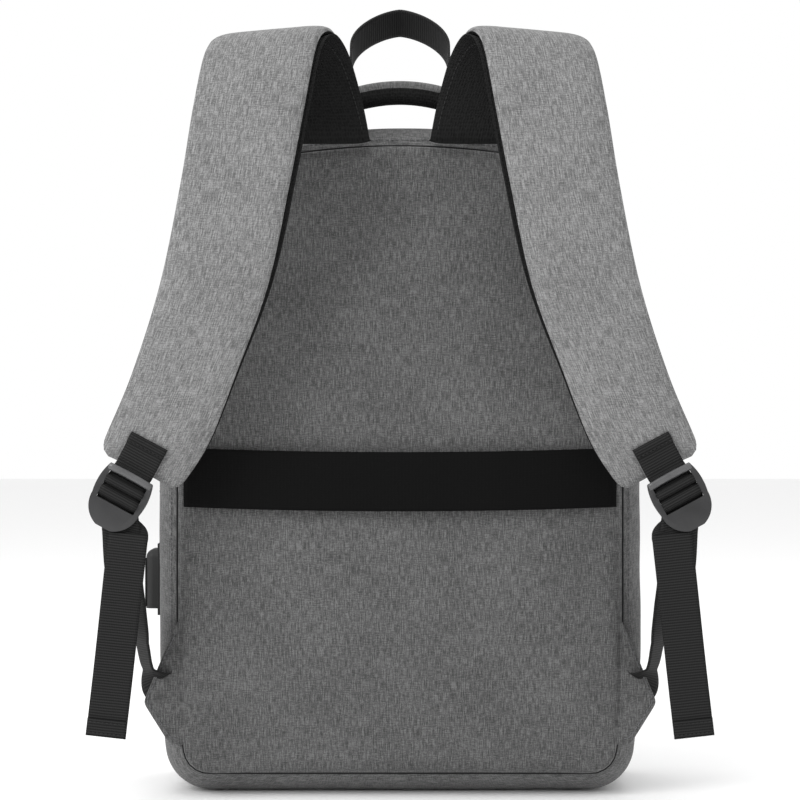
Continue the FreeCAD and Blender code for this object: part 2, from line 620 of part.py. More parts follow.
# ------------------------------------------------------------------ handles
def arch(half, leg, thick, width, crown, foot=None):
    """A band over an arch in the XZ plane, standing at Z = 0 and centred on Y = 0.

    foot is the width it is gathered to at its two ends.
    """

    def side(grow):
        a, rise = half + grow, crown + grow
        over = Part.Arc(V(-a, 0, leg), V(0, 0, leg + rise), V(a, 0, leg))
        return [Part.makeLine(V(-a, 0, 0), V(-a, 0, leg)), over.toShape(),
                Part.makeLine(V(a, 0, leg), V(a, 0, 0))]

    inner, outer = half - thick / 2, half + thick / 2
    ends = [Part.makeLine(V(sign * inner, 0, 0), V(sign * outer, 0, 0)) for sign in (-1, 1)]
    edges = side(-thick / 2) + side(thick / 2) + ends
    band = Part.Face(Part.Wire(Part.__sortEdges__(edges))).extrude(V(0, width, 0))
    band.translate(V(0, -width / 2, 0))
    if foot is None:
        return band
    f = foot / 2
    high = GATHER * (width - f) / (width / 2 - f)
    plan = Part.makePolygon([V(-BIG, -f, 0), V(-BIG, f, 0), V(-BIG, width, high), V(-BIG, width, BIG),
                             V(-BIG, -width, BIG), V(-BIG, -width, high), V(-BIG, -f, 0)])
    return band.common(Part.Face(plan).extrude(V(2 * BIG, 0, 0)))


def top_at(x):
    """Height of the body's top at an X."""
    *_, corner, crown = arcs()
    arc = crown if abs(x) <= crown[2] * math.cos(crown[3]) else corner
    return arc[1] + math.sqrt(arc[2] ** 2 - (abs(x) - arc[0]) ** 2)


def anchors(half, y, width):
    """Stitched webbing patches on the top, where a handle's ends are sewn down."""
    z = top_at(half + ANCHOR_LEN)
    top = top_at(half) + ANCHOR_T
    block = box(half - ANCHOR_IN, half + ANCHOR_LEN, y - width / 2, y + width / 2,
                z - ANCHOR_T, top + ANCHOR_T)
    skin = body([(Y_SEAM, -ANCHOR_T - CLEAR), (Y_LID, -ANCHOR_T - CLEAR)])
    core = body([(Y_SEAM, -CLEAR), (Y_LID, -CLEAR)])
    patch = block.common(skin).cut(core)
    return Part.makeCompound([patch, mirrored(patch)])


def handles():
    """Padded carry handle, webbing hook loop and their stitched anchors."""
    foot = top_at(HANDLE_HALF) + ANCHOR_T + FOOT_GAP
    leg = HANDLE_LEG
    crown = HEIGHT + HANDLE_RISE - foot - leg
    core = WEB - 2 * HANDLE_WEB_IN
    web = arch(HANDLE_HALF, leg, WEB_T, core, crown, FOOT)
    grip = arch(HANDLE_HALF, leg, GRIP_T, core + 2 * GRIP_OVER, crown)
    grip = grip.common(box(-GRIP_HALF, GRIP_HALF, -BIG, BIG, 0, BIG))
    long_edges = [e for e in grip.Edges if e.Length > GRIP_HALF * 0.9]
    channel = arch(HANDLE_HALF, leg, WEB_T + 2 * CLEAR, core + 2 * CLEAR, crown)
    grip = grip.makeFillet(GRIP_R, long_edges).cut(channel)
    for shape in (web, grip):
        shape.translate(V(0, HANDLE_Y, foot))
    loop = arch(HOOK_LOOP_HALF, HOOK_LOOP_LEG, WEB_T, WEB, HOOK_LOOP_HALF, FOOT)
    loop.rotate(ZERO, TURN_X, -HOOK_LOOP_LEAN)
    loop.translate(V(0, HOOK_LOOP_Y, top_at(HOOK_LOOP_HALF) + ANCHOR_T + FOOT_GAP))
    return {"handle_webbing": web, "handle_grip": grip, "hook_loop": loop,
            "handle_anchor_patches": anchors(HANDLE_HALF, HANDLE_Y, WEB - ANCHOR_NARROW[0]),
            "hook_loop_anchor_patches": anchors(HOOK_LOOP_HALF, HOOK_LOOP_Y, WEB - ANCHOR_NARROW[1])}


# ------------------------------------------------------------ charging port
def charging_port():
    """Rubber housing on the left side with a USB-A socket that faces down."""
    wall = HALF_MID
    x0 = -wall - PORT_OUT
    y0, y1 = PORT_Y - PORT_W / 2, PORT_Y + PORT_W / 2
    block = box(x0, -wall + WALL, y0, y1, PORT_Z, PORT_Z + PORT_H)

    def is_round(e):
        m = e.CenterOfMass
        return (m.x < x0 + 0.1 or m.z > PORT_Z + PORT_H - 0.1) and m.z > PORT_Z + 0.1 and m.x < -wall

    block = block.makeFillet(PORT_R, [e for e in block.Edges if is_round(e)])
    flange = box(-wall - FLANGE_T, -wall + WALL, y0 - FLANGE, y1 + FLANGE, PORT_Z - FLANGE,
                 PORT_Z + PORT_H + FLANGE)
    house = block.fuse(flange).cut(body([(Y_SEAM, -CLEAR), (Y_LID, -CLEAR)]))
    x_mid = -wall - PORT_OUT / 2 - MOUTH_IN
    room = box(x_mid - USB_H / 2 - CLEAR, x_mid + USB_H / 2 + CLEAR, PORT_Y - USB_W / 2 - CLEAR,
               PORT_Y + USB_W / 2 + CLEAR, PORT_Z - 2 * FLANGE, PORT_Z + USB_DEEP + CLEAR)
    house = house.cut(room)
    socket = box(x_mid - USB_H / 2, x_mid + USB_H / 2, PORT_Y - USB_W / 2, PORT_Y + USB_W / 2,
                 PORT_Z + SOCKET_IN, PORT_Z + USB_DEEP)
    hollow = box(x_mid - USB_H / 2 + USB_SHEET, x_mid + USB_H / 2 - USB_SHEET,
                 PORT_Y - USB_W / 2 + USB_SHEET, PORT_Y + USB_W / 2 - USB_SHEET,
                 PORT_Z - FLANGE, PORT_Z + USB_DEEP - USB_SHEET)
    wide, thick, long = TONGUE
    tongue_x = x_mid + USB_H / 2 - USB_SHEET - CLEAR - thick
    root = PORT_Z + USB_DEEP - USB_SHEET - CLEAR
    tongue = box(tongue_x, tongue_x + thick, PORT_Y - wide / 2, PORT_Y + wide / 2, root - long, root)
    return {"charging_port_housing": house.removeSplitter(), "charging_port_socket": socket.cut(hollow),
            "charging_port_tongue": tongue}


# ------------------------------------------------------------------- inside
def inside():
    """Laptop divider and its strap, battery pocket, and the lid's organiser pocket."""
    divider = body([(DIVIDER_Y, DIVIDER_INSET), (DIVIDER_Y + DIVIDER_T, DIVIDER_INSET)])
    divider = below(divider, DIVIDER_TOP)
    lining_y = Y_SEAM + CLEAR + LINING
    front = DIVIDER_Y + DIVIDER_T + CLEAR
    half = RETAINER_WEB / 2
    back = lining_y + CLEAR
    retainer = box(-half, half, back, front + WEB_T, RETAINER_Z, RETAINER_Z + WEB_T)
    retainer = retainer.fuse(box(-half, half, front, front + WEB_T,
                                 RETAINER_Z - RETAINER_DOWN, RETAINER_Z + WEB_T))
    retainer = retainer.fuse(box(-half, half, back, back + WEB_T, RETAINER_Z, RETAINER_Z + RETAINER_UP))
    bx, by, bz = BATTERY
    y0 = Y_FULL + BATTERY_Y
    wall = HALF_MID - WALL - TAPE - 2 * CLEAR
    outer = box(-HALF_MID, -wall + bx, y0, y0 + by, BATTERY_Z, BATTERY_Z + bz)
    inner = box(-wall + BATTERY_IN, -wall + bx - POCKET_CLOTH, y0 + POCKET_CLOTH, y0 + by - POCKET_CLOTH,
                BATTERY_Z + POCKET_CLOTH, BATTERY_Z + 2 * bz)
    cavity = body([(Y_FULL, WALL + TAPE + 2 * CLEAR), (Y_REAR, WALL + TAPE + 2 * CLEAR)])
    battery = outer.cut(inner).common(cavity)
    ox, oy, oz = ORGANISER
    organiser = box(-ox / 2, ox / 2, Y_PANEL - CLEAR - oy, Y_PANEL - CLEAR, ORGANISER_Z, ORGANISER_Z + oz)
    room = box(-ox / 2 + POCKET_CLOTH, ox / 2 - POCKET_CLOTH, Y_PANEL - CLEAR - oy + POCKET_CLOTH,
               Y_PANEL - CLEAR - POCKET_CLOTH, ORGANISER_Z + POCKET_CLOTH, ORGANISER_Z + 2 * oz)
    return {"laptop_divider": divider, "laptop_retainer_strap": retainer.removeSplitter(),
            "battery_pocket": battery, "organiser_pocket": organiser.cut(room)}


# ------------------------------------------------- front pocket, solar panel
def front_pocket():
    """Front pocket with a straight zip, its tape, coils, slider and puller."""
    inset = POCKET_INSET
    y0 = Y_FRONT + CLEAR
    shell_ = body([(y0, inset), (Y_FACE - POCKET_EDGE, inset), (Y_FACE, inset + POCKET_EDGE)])
    shell_ = above(shell_, POCKET_Z)
    room = body([(Y_FRONT - CLEAR, inset + POCKET_WALL), (Y_FACE - POCKET_WALL, inset + POCKET_EDGE)])
    room = above(room, POCKET_Z + POCKET_WALL)
    half, slot = POCKET_ZIP_HALF, POCKET_SLOT / 2
    mouth = box(-half, half, Y_FACE - 2 * POCKET_WALL, Y_FACE + POCKET_WALL,
                POCKET_ZIP_Z - slot, POCKET_ZIP_Z + slot)
    shell_ = shell_.cut(room).cut(mouth)
    tape_y = Y_FACE - POCKET_WALL - CLEAR - TAPE
    coil_y = tape_y + TAPE + CLEAR
    edge = COIL_GAP / 2
    tapes, coils = [], []
    for sign in (-1, 1):
        low, high = sorted((POCKET_ZIP_Z + sign * edge, POCKET_ZIP_Z + sign * (slot + TAPE_UNDER)))
        tapes.append(box(-half - TAPE_OVER, half + TAPE_OVER, tape_y, tape_y + TAPE, low, high))
        low, high = sorted((POCKET_ZIP_Z + sign * edge, POCKET_ZIP_Z + sign * (edge + COIL_W)))
        coils.append(box(COIL_SHORT - half, half - COIL_SHORT, coil_y, coil_y + COIL_H, low, high))
    placed = []
    for shape in slider_and_puller():
        shape.rotate(ZERO, TURN_X, 90)
        shape.rotate(ZERO, V(0, 0, 1), -90)
        shape.translate(V(half - POCKET_PARK, coil_y + COIL_H, POCKET_ZIP_Z))
        placed.append(shape)
    return {"front_pocket": shell_.removeSplitter(), "pocket_zip_tape": Part.makeCompound(tapes),
            "pocket_zip_coil": Part.makeCompound(coils), "pocket_zip_slider": placed[0],
            "pocket_zip_puller": placed[1]}


def rounded_plate(half, z0, z1, r, y0, y1):
    """An upright plate with round corners."""
    plate = box(-half, half, y0, y1, z0, z1)
    return plate.makeFillet(r, [e for e in plate.Edges if abs(e.Length - (y1 - y0)) < 1e-6])


def solar_panel():
    """Laminate with its cells, and the binding that sews it to the pocket."""
    y0 = Y_FACE + CLEAR
    top = SOLAR_Z + SOLAR_H
    laminate = rounded_plate(SOLAR_HALF, SOLAR_Z, top, SOLAR_R, y0, y0 + SOLAR_T)
    binding = rounded_plate(SOLAR_HALF + BINDING_W, SOLAR_Z - BINDING_W, top + BINDING_W,
                            SOLAR_R + BINDING_W, y0, y0 + BINDING_T)
    binding = binding.cut(rounded_plate(SOLAR_HALF + CLEAR, SOLAR_Z - CLEAR, top + CLEAR, SOLAR_R,
                                        y0 - BINDING_T, y0 + 2 * BINDING_T))
    wide = (2 * (SOLAR_HALF - CELL_MARGIN) - (CELL_COLS - 1) * CELL_GAP) / CELL_COLS
    tall = (SOLAR_H - 2 * CELL_MARGIN - (CELL_ROWS - 1) * CELL_GAP) / CELL_ROWS
    face = y0 + SOLAR_T
    cells = []
    for col in range(CELL_COLS):
        for row in range(CELL_ROWS):
            x = -SOLAR_HALF + CELL_MARGIN + col * (wide + CELL_GAP)
            z = SOLAR_Z + CELL_MARGIN + row * (tall + CELL_GAP)
            cell = box(x, x + wide, face, face + CELL_T, z, z + tall)
            corners = [e for e in cell.Edges if abs(e.Length - CELL_T) < 1e-6]
            cells.append(cell.makeChamfer(CELL_CUT, corners))
    return {"solar_laminate": laminate, "solar_cells": Part.makeCompound(cells), "solar_binding": binding}


def usb_shell(y, z0, z1, grow):
    """A block the size of a USB-A socket that stands on end, facing down."""
    return box(-USB_W / 2 - grow, USB_W / 2 + grow, y - USB_H / 2 - grow, y + USB_H / 2 + grow, z0, z1)


def controller():
    """Charge controller inside the front pocket: case, cover, socket and four screws."""
    cx, cy, cz = CASE
    top = SOLAR_Z + SOLAR_H - CASE_TOP_GAP
    low = top - cz
    back = Y_FACE - POCKET_WALL - CLEAR
    near = back - cy
    usb_y = back - cy / 2
    case = box(-cx / 2, cx / 2, near, back, low, top)
    case = case.cut(box(-cx / 2 + CASE_WALL, cx / 2 - CASE_WALL, near - CASE_WALL, back - CASE_WALL,
                        low + CASE_WALL, top - CASE_WALL))
    cover_y = near - CLEAR - COVER_T
    cover = box(-cx / 2, cx / 2, cover_y, cover_y + COVER_T, low, top)
    screws = []
    for x in (SCREW_IN - cx / 2, cx / 2 - SCREW_IN):
        for z in (low + SCREW_IN, top - SCREW_IN):
            post = Part.makeCylinder(SCREW_R + CASE_WALL, cy - CASE_WALL, V(x, near, z), V(0, 1, 0))
            bore = Part.makeCylinder(SCREW_R + SCREW_FIT, SCREW_LEN, V(x, cover_y, z), V(0, 1, 0))
            case = case.fuse(post).cut(bore)
            cover = cover.cut(bore)
            shank = Part.makeCylinder(SCREW_R, SCREW_LEN, V(x, cover_y, z), V(0, 1, 0))
            head = Part.makeCylinder(SCREW_HEAD_R, SCREW_HEAD, V(x, cover_y - SCREW_HEAD, z), V(0, 1, 0))
            screws.append(head.fuse(shank).removeSplitter())
    case = case.cut(usb_shell(usb_y, low - CASE_WALL, low + USB_DEEP, CLEAR))
    socket = usb_shell(usb_y, low + SOCKET_IN, low + USB_DEEP - CLEAR, 0.0)
    socket = socket.cut(usb_shell(usb_y, low - CASE_WALL, low + USB_DEEP - CLEAR - USB_SHEET, -USB_SHEET))
    return {"controller_case": case.removeSplitter(), "controller_cover": cover, "controller_socket": socket,
            "controller_screws": Part.makeCompound(screws)}


def main():
    """Build every node and write one STEP file for each."""
    nodes = {}
    for group in (back_panel, luggage_strap, shell, main_zip, main_sliders, handles, charging_port,
                  inside, front_pocket, solar_panel, controller):
        nodes.update(group())
    pieces = {"shoulder_" + name: shape for name, shape in strap().items()}
    pieces.update({"ladder_lock": buckle(), "webbing_tail": tail(), "anchor_wing": wing(),
                   "lower_webbing": lower_webbing()})
    for name, shape in pieces.items():
        nodes["right_" + name] = shape
        nodes["left_" + name] = mirrored(shape)
    os.makedirs("parts", exist_ok=True)
    for name, shape in sorted(nodes.items()):
        solids = shape.Solids
        whole = Part.makeCompound(solids) if len(solids) != 1 else solids[0]
        print(f"{name:28s} solids {len(solids)} valid {whole.isValid()} volume {whole.Volume:.0f}")
        whole.exportStep(f"parts/{name}.step")


main()
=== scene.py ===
"""Looks of a laptop backpack with a solar front, built around its fixed frame.

Row frame: +Z up, -Y towards the wearer (straps), +Y the solar front, +X to the
right as seen from the harness side. Sizes in the classes are millimetres and
become metres where a mesh is made.
"""
import json
import logging
import math
from dataclasses import dataclass
from enum import Enum
from typing import Callable, Optional, Sequence

import bmesh
import bpy
import numpy as np
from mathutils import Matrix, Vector


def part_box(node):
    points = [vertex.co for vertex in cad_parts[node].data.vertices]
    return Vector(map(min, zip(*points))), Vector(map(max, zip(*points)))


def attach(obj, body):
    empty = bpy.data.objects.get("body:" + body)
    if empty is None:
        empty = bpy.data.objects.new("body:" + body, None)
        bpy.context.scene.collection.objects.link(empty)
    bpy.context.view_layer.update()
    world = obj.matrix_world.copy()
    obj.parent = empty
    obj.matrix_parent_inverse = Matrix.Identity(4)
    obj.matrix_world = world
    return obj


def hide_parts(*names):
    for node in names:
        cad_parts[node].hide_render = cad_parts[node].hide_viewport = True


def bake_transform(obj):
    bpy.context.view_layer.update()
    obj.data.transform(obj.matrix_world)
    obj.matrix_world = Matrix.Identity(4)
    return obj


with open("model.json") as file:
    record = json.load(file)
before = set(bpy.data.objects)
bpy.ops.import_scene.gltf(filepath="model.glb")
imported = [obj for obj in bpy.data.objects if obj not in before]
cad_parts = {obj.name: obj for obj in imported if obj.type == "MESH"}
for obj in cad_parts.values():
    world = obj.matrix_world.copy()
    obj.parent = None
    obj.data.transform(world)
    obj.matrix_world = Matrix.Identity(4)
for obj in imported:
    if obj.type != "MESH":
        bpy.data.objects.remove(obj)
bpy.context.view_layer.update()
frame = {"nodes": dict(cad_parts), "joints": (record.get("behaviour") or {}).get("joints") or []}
LOG = logging.getLogger("backpack")
MM = 0.001
SIDES = {"right": 1.0, "left": -1.0}
Array = np.ndarray
Material, Mesh, Object = bpy.types.Material, bpy.types.Mesh, bpy.types.Object
Node, Socket, Tree = bpy.types.Node, bpy.types.NodeSocket, bpy.types.NodeTree


# ---- frame
def corner(node: str) -> tuple[Array, Array]:
    """Lowest and highest corner of a frame node, in millimetres."""
    low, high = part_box(node)
    return np.array(low) / MM, np.array(high) / MM


def joint_point(name: str) -> Array:
    """A point on a joint's axis, in millimetres."""
    found = next(j for j in frame["joints"] if j["name"] == name)
    return np.array(found["pos_m"]) / MM


def joint_axis(name: str) -> Array:
    """A joint's axis."""
    return np.array(next(j for j in frame["joints"] if j["name"] == name)["axis"], float)


# ---- curves
def resample(points: Array, count: int) -> Array:
    """Evenly spaced points along a polyline.

    Args:
        points: the polyline, one point a row.
        count: how many points to return, ends included.
    Returns:
        The new points.
    """
    steps = np.linalg.norm(np.diff(points, axis=0), axis=1)
    along = np.concatenate([[0.0], np.cumsum(steps)])
    wanted = np.linspace(0.0, along[-1], count)
    return np.stack([np.interp(wanted, along, points[:, k]) for k in range(points.shape[1])], 1)


def smooth(points: Sequence[Sequence[float]], per: int = 12) -> Array:
    """A smooth curve through points, as a fine polyline."""
    p = np.array(points, float)
    p = np.vstack([2 * p[0] - p[1], p, 2 * p[-1] - p[-2]])
    out = []
    for a, b, c, d in zip(p, p[1:], p[2:], p[3:]):
        for t in np.linspace(0.0, 1.0, per, endpoint=False):
            out.append(0.5 * (2 * b + (c - a) * t + (2 * a - 5 * b + 4 * c - d) * t ** 2
                              + (3 * b - a - 3 * c + d) * t ** 3))
    out.append(p[-2])
    return np.array(out)


def lengths(points: Array) -> Array:
    """Distance along a polyline at each of its points."""
    return np.concatenate([[0.0], np.cumsum(np.linalg.norm(np.diff(points, axis=0), axis=1))])


def normalised(vectors: Array) -> Array:
    """Vectors brought to length 1, one a row."""
    return vectors / np.linalg.norm(vectors, axis=1)[:, None]


def at_depth(flat: Array, y: float) -> Array:
    """Points of an outline (X, Z) set at a depth."""
    return np.stack([flat[:, 0], np.full(len(flat), y), flat[:, 1]], 1)


def outward(flat: Array) -> Array:
    """Directions that point away from the body along an outline (X, Z)."""
    tangent = np.gradient(flat, axis=0)
    return normalised(np.stack([tangent[:, 1], np.zeros(len(flat)), -tangent[:, 0]], 1))


def waves(points: Array, size: float, seed: int) -> Array:
    """A smooth random field between -1 and 1, for slack in cloth.

    Args:
        points: places, in millimetres, in the last axis.
        size: usual distance between two folds, in millimetres.
        seed: which field.
    """
    rng = np.random.default_rng(seed)
    total = np.zeros(points.shape[:-1])
    for share in (1.0, 0.7, 0.5, 0.35):
        way = rng.normal(size=(3, points.shape[-1]))
        way /= np.linalg.norm(way, axis=1)[:, None]
        for w in way:
            phase = points @ w * 2 * math.pi * (1.3 - share * 0.6) / size + rng.uniform(0, 6.28)
            total += share * np.sin(phase)
    return total / 5.0


@dataclass(frozen=True)
class Outline:
    """The body's outline, seen from the back."""

    half_mid: float
    height: float
    crown: float = 5.0
    top_r: float = 80.0
    corner_r: float = 30.0
    bottom_in: float = 4.0
    shoulder_in: float = 14.0
    side_low: float = 95.0
    side_high: float = 300.0
    arc_points: int = 40

    @staticmethod
    def join(across: float, along: float, r: float) -> float:
        """Radius of an arc that is tangent to a flat edge and to a corner of radius r."""
        return (across ** 2 + along ** 2 - r ** 2) / (2 * (across - r))

    def half(self, inset: float) -> Array:
        """Right half from the base's middle to the top's middle, shrunk by inset."""
        low_x, low_z = self.half_mid - self.bottom_in - self.corner_r, self.corner_r
        top_x, top_z = self.half_mid - self.shoulder_in - self.top_r, self.height - self.crown - self.top_r
        r_low = self.join(self.half_mid - low_x, self.side_low - low_z, self.corner_r)
        r_high = self.join(self.half_mid - top_x, self.side_high - top_z, self.top_r)
        r_crown = self.join(self.height - top_z, top_x, self.top_r)
        a_low = math.atan2(low_z - self.side_low, low_x - self.half_mid + r_low)
        a_high = math.atan2(top_z - self.side_high, top_x - self.half_mid + r_high)
        a_crown = math.atan2(top_z - self.height + r_crown, top_x)
        arcs = ((low_x, low_z, self.corner_r, -math.pi / 2, a_low),
                (self.half_mid - r_low, self.side_low, r_low, a_low, 0.0),
                (self.half_mid - r_high, self.side_high, r_high, 0.0, a_high),
                (top_x, top_z, self.top_r, a_high, a_crown),
                (0.0, self.height - r_crown, r_crown, a_crown, math.pi / 2))
        points = [(0.0, inset)]
        for x, z, r, a0, a1 in arcs:
            for a in np.linspace(a0, a1, self.arc_points):
                points.append((x + (r - inset) * math.cos(a), z + (r - inset) * math.sin(a)))
        return np.array(points)

    def whole(self, inset: float) -> Array:
        """The closed outline from the base's middle, right side up first."""
        right = self.half(inset)
        left = right[::-1][1:] * (-1.0, 1.0)
        return np.vstack([right, left])

    def width_at(self, z: float, inset: float = 0.0) -> float:
        """Half width at a height."""
        right = self.half(inset)
        return float(np.interp(z, right[:, 1], right[:, 0]))

    def above(self, inset: float, z_low: float, count: int) -> Array:
        """Open outline above a height, from the right side over the top to the left."""
        right = self.half(inset)
        kept = right[right[:, 1] > z_low]
        kept = np.vstack([[self.width_at(z_low, inset), z_low], kept])
        return resample(np.vstack([kept, kept[::-1][1:] * (-1.0, 1.0)]), count)

    def below(self, inset: float, z_high: float, count: int) -> Array:
        """Open outline below a height, from the left side under the base to the right."""
        right = self.half(inset)
        kept = right[right[:, 1] < z_high]
        kept = np.vstack([kept, [self.width_at(z_high, inset), z_high]])
        return resample(np.vstack([kept[::-1] * (-1.0, 1.0), kept[1:]]), count)

    def loop(self, inset: float, z_low: Optional[float], count: int) -> Array:
        """Closed outline as count points, cut flat at a height if one is given."""
        if z_low is None:
            return resample(self.whole(inset), count + 1)[:-1]
        upper = self.above(inset, z_low, 4 * count)
        middle = np.array([[0.0, z_low]])
        return resample(np.vstack([middle, upper, middle]), count + 1)[:-1]


# ---- meshes
def finish_mesh(name: str, mesh: Mesh, materials: Sequence[Material], smooth_shade: bool = True) -> Object:
    """Link a mesh as an object with its materials and outward normals.

    Args:
        name: the piece's name.
        mesh: a closed mesh in metres.
        materials: one for each slot.
        smooth_shade: False for faceted pieces.
    Returns:
        The object, at the origin.
    """
    work = bmesh.new()
    work.from_mesh(mesh)
    bmesh.ops.remove_doubles(work, verts=work.verts, dist=1e-6)
    bmesh.ops.dissolve_degenerate(work, edges=work.edges, dist=1e-7)
    bmesh.ops.recalc_face_normals(work, faces=work.faces)
    for face in work.faces:
        face.smooth = smooth_shade
    work.to_mesh(mesh)
    work.free()
    for material in materials:
        mesh.materials.append(material)
    obj = bpy.data.objects.new(name, mesh)
    bpy.context.scene.collection.objects.link(obj)
    return obj


def plain_uv(grid: Array) -> Array:
    """Distances across and along a grid, in millimetres, as its cloth's own measure."""
    rows, cols = grid.shape[:2]
    across = np.concatenate([np.zeros((rows, 1)), np.cumsum(
        np.linalg.norm(np.diff(grid, axis=1), axis=2), axis=1)], 1)
    across -= across[:, cols // 2][:, None]
    along = np.concatenate([np.zeros((1, cols)), np.cumsum(
        np.linalg.norm(np.diff(grid, axis=0), axis=2), axis=0)], 0)
    middle = along.mean(axis=1)[:, None] * np.ones((1, cols))
    return np.stack([across, middle], 2)


def set_measure(mesh: Mesh, measure: Array) -> None:
    """Store the cloth's measure at each vertex, in metres, as the UV map."""
    layer = mesh.uv_layers.new(name="cloth")
    corners = np.zeros(len(mesh.loops), np.int32)
    mesh.loops.foreach_get("vertex_index", corners)
    layer.data.foreach_set("uv", measure[corners].astype(np.float32).ravel())


def net(rows: int, cols: int, closed: bool) -> list[tuple[int, ...]]:
    """Faces of a grid of points, joined round from its last column to its first if closed."""
    return [(i * cols + j, i * cols + (j + 1) % cols, (i + 1) * cols + (j + 1) % cols, (i + 1) * cols + j)
            for i in range(rows - 1) for j in range(cols if closed else cols - 1)]


def two_sided(name: str, outer: Array, inner: Array, materials: Sequence[Material],
              uv: Optional[Array] = None) -> Object:
    """A closed piece between two grids of the same size.

    Args:
        name: the piece's name.
        outer: its face, rows by columns of points in millimetres.
        inner: its back.
        materials: face and edge first, then the back if it differs.
        uv: the face's measure in millimetres; worked out if left out.
    """
    rows, cols = outer.shape[:2]
    half = rows * cols
    points = np.vstack([outer.reshape(-1, 3), inner.reshape(-1, 3)]) * MM
    quads, slots = [], []
    for side in (0, 1):
        for i in range(rows - 1):
            for j in range(cols - 1):
                a = side * half + i * cols + j
                quads.append((a, a + 1, a + cols + 1, a + cols))
                slots.append(side if len(materials) > 1 else 0)
    rim = [j for j in range(cols)] + [i * cols + cols - 1 for i in range(1, rows)]
    rim += [(rows - 1) * cols + j for j in range(cols - 2, -1, -1)]
    rim += [i * cols for i in range(rows - 2, 0, -1)]
    for a, b in zip(rim, rim[1:] + rim[:1]):
        quads.append((a, b, b + half, a + half))
        slots.append(0)
    mesh = bpy.data.meshes.new(name)
    mesh.from_pydata(points.tolist(), [], quads)
    measure = (plain_uv(outer) if uv is None else uv).reshape(-1, 2) * MM
    measure = np.vstack([measure, measure])
    set_measure(mesh, measure)
    mesh.polygons.foreach_set("material_index", np.array(slots, np.int32))
    return finish_mesh(name, mesh, materials)


def ribbon(name: str, line: Array, across: Array, width: Sequence[float] | float, thick: float,
           material: Material, cols: int = 9) -> Object:
    """A flat band along a line.

    Args:
        name: the piece's name.
        line: middle of its face, one point a row, in millimetres.
        across: direction of its width at each point, or one for all.
        width: its width, one number or one for each point.
        thick: its thickness.
        material: its finish.
        cols: points across.
    """
    outer, inner = band_grids(line, across, width, thick, cols)
    return two_sided(name, outer, inner, [material])


def band_grids(line: Array, across: Array, width: Sequence[float] | float, thick: float,
               cols: int = 9) -> tuple[Array, Array]:
    """Face and back grids of a flat band; see ribbon."""
    rows = len(line)
    side = np.broadcast_to(np.array(across, float), (rows, 3))
    side = side / np.linalg.norm(side, axis=1)[:, None]
    tangent = normalised(np.gradient(line, axis=0))
    out = np.cross(tangent, side)
    out /= np.linalg.norm(out, axis=1)[:, None]
    w = np.broadcast_to(np.array(width, float), (rows,))
    share = np.linspace(-0.5, 0.5, cols)
    outer = line[:, None, :] + side[:, None, :] * (w[:, None] * share[None, :])[:, :, None]
    return outer, outer - out[:, None, :] * thick


def cushion(name: str, loops: Sequence[tuple[Array, float]], back: Sequence[tuple[Array, float]],
            materials: Sequence[Material], crown: float = 0.0, rings: int = 22,
            slack: Optional[Callable[[Array], Array]] = None) -> Object:
    """A closed padded panel whose face lies across Y.

    Args:
        name: the piece's name.
        loops: outlines from the rim to the face's edge, as ((n, 2) points, Y).
        back: outlines from the rim to the back's edge; one is enough.
        materials: face first, then the back.
        crown: how far the face's middle stands out beyond its edge.
        rings: rows of faces between the face's edge and its middle.
        slack: moves the face along Y; takes the points, gives millimetres.
    """
    count = len(loops[0][0])
    points, slots = [], []

    def put(flat: Array, y: float | Array) -> None:
        points.append(np.stack([flat[:, 0], np.broadcast_to(y, (count,)), flat[:, 1]], 1))

    def fill(last: Array, y: float, way: float, number: int) -> None:
        low, high = last[:, 1].min(), last[:, 1].max()
        reach = (last[:, 0].max() - last[:, 0].min()) / 2
        spine = np.stack([np.zeros(count), np.clip(last[:, 1], low + min(reach, (high - low) / 2),
                                                   max(high - reach, (high + low) / 2))], 1)
        for k in range(1, number + 1):
            q = k / number
            flat = last + (spine - last) * q
            rise = way * crown * (1 - (1 - q) ** 2.2)
            y_here = y + rise
            if slack is not None and way:
                spots = at_depth(flat, y)
                y_here = y_here + slack(spots) * min(1.0, 3.5 * q)
            put(flat, y_here)

    way = math.copysign(1.0, loops[-1][1] - back[-1][1])
    for flat, y in reversed(list(loops)):
        put(flat, y)
    points.reverse()
    fill(loops[-1][0], loops[-1][1], way, rings)
    front_count = len(points)
    for flat, y in back:
        put(flat, y)
    fill(back[-1][0], back[-1][1], 0.0, 6)
    grid = np.array(points)
    order = list(range(front_count - 1, -1, -1)) + list(range(front_count, len(points)))
    grid = grid[order]
    quads = []
    rows = len(grid)
    for i in range(rows - 1):
        for j in range(count):
            a, b = i * count + j, i * count + (j + 1) % count
            quads.append((a, b, b + count, a + count))
            slots.append(0 if i < front_count or len(materials) == 1 else 1)
    mesh = bpy.data.meshes.new(name)
    mesh.from_pydata((grid.reshape(-1, 3) * MM).tolist(), [], quads)
    set_measure(mesh, grid.reshape(-1, 3)[:, [0, 2]] * MM)
    mesh.polygons.foreach_set("material_index", np.array(slots, np.int32))
    return finish_mesh(name, mesh, materials)


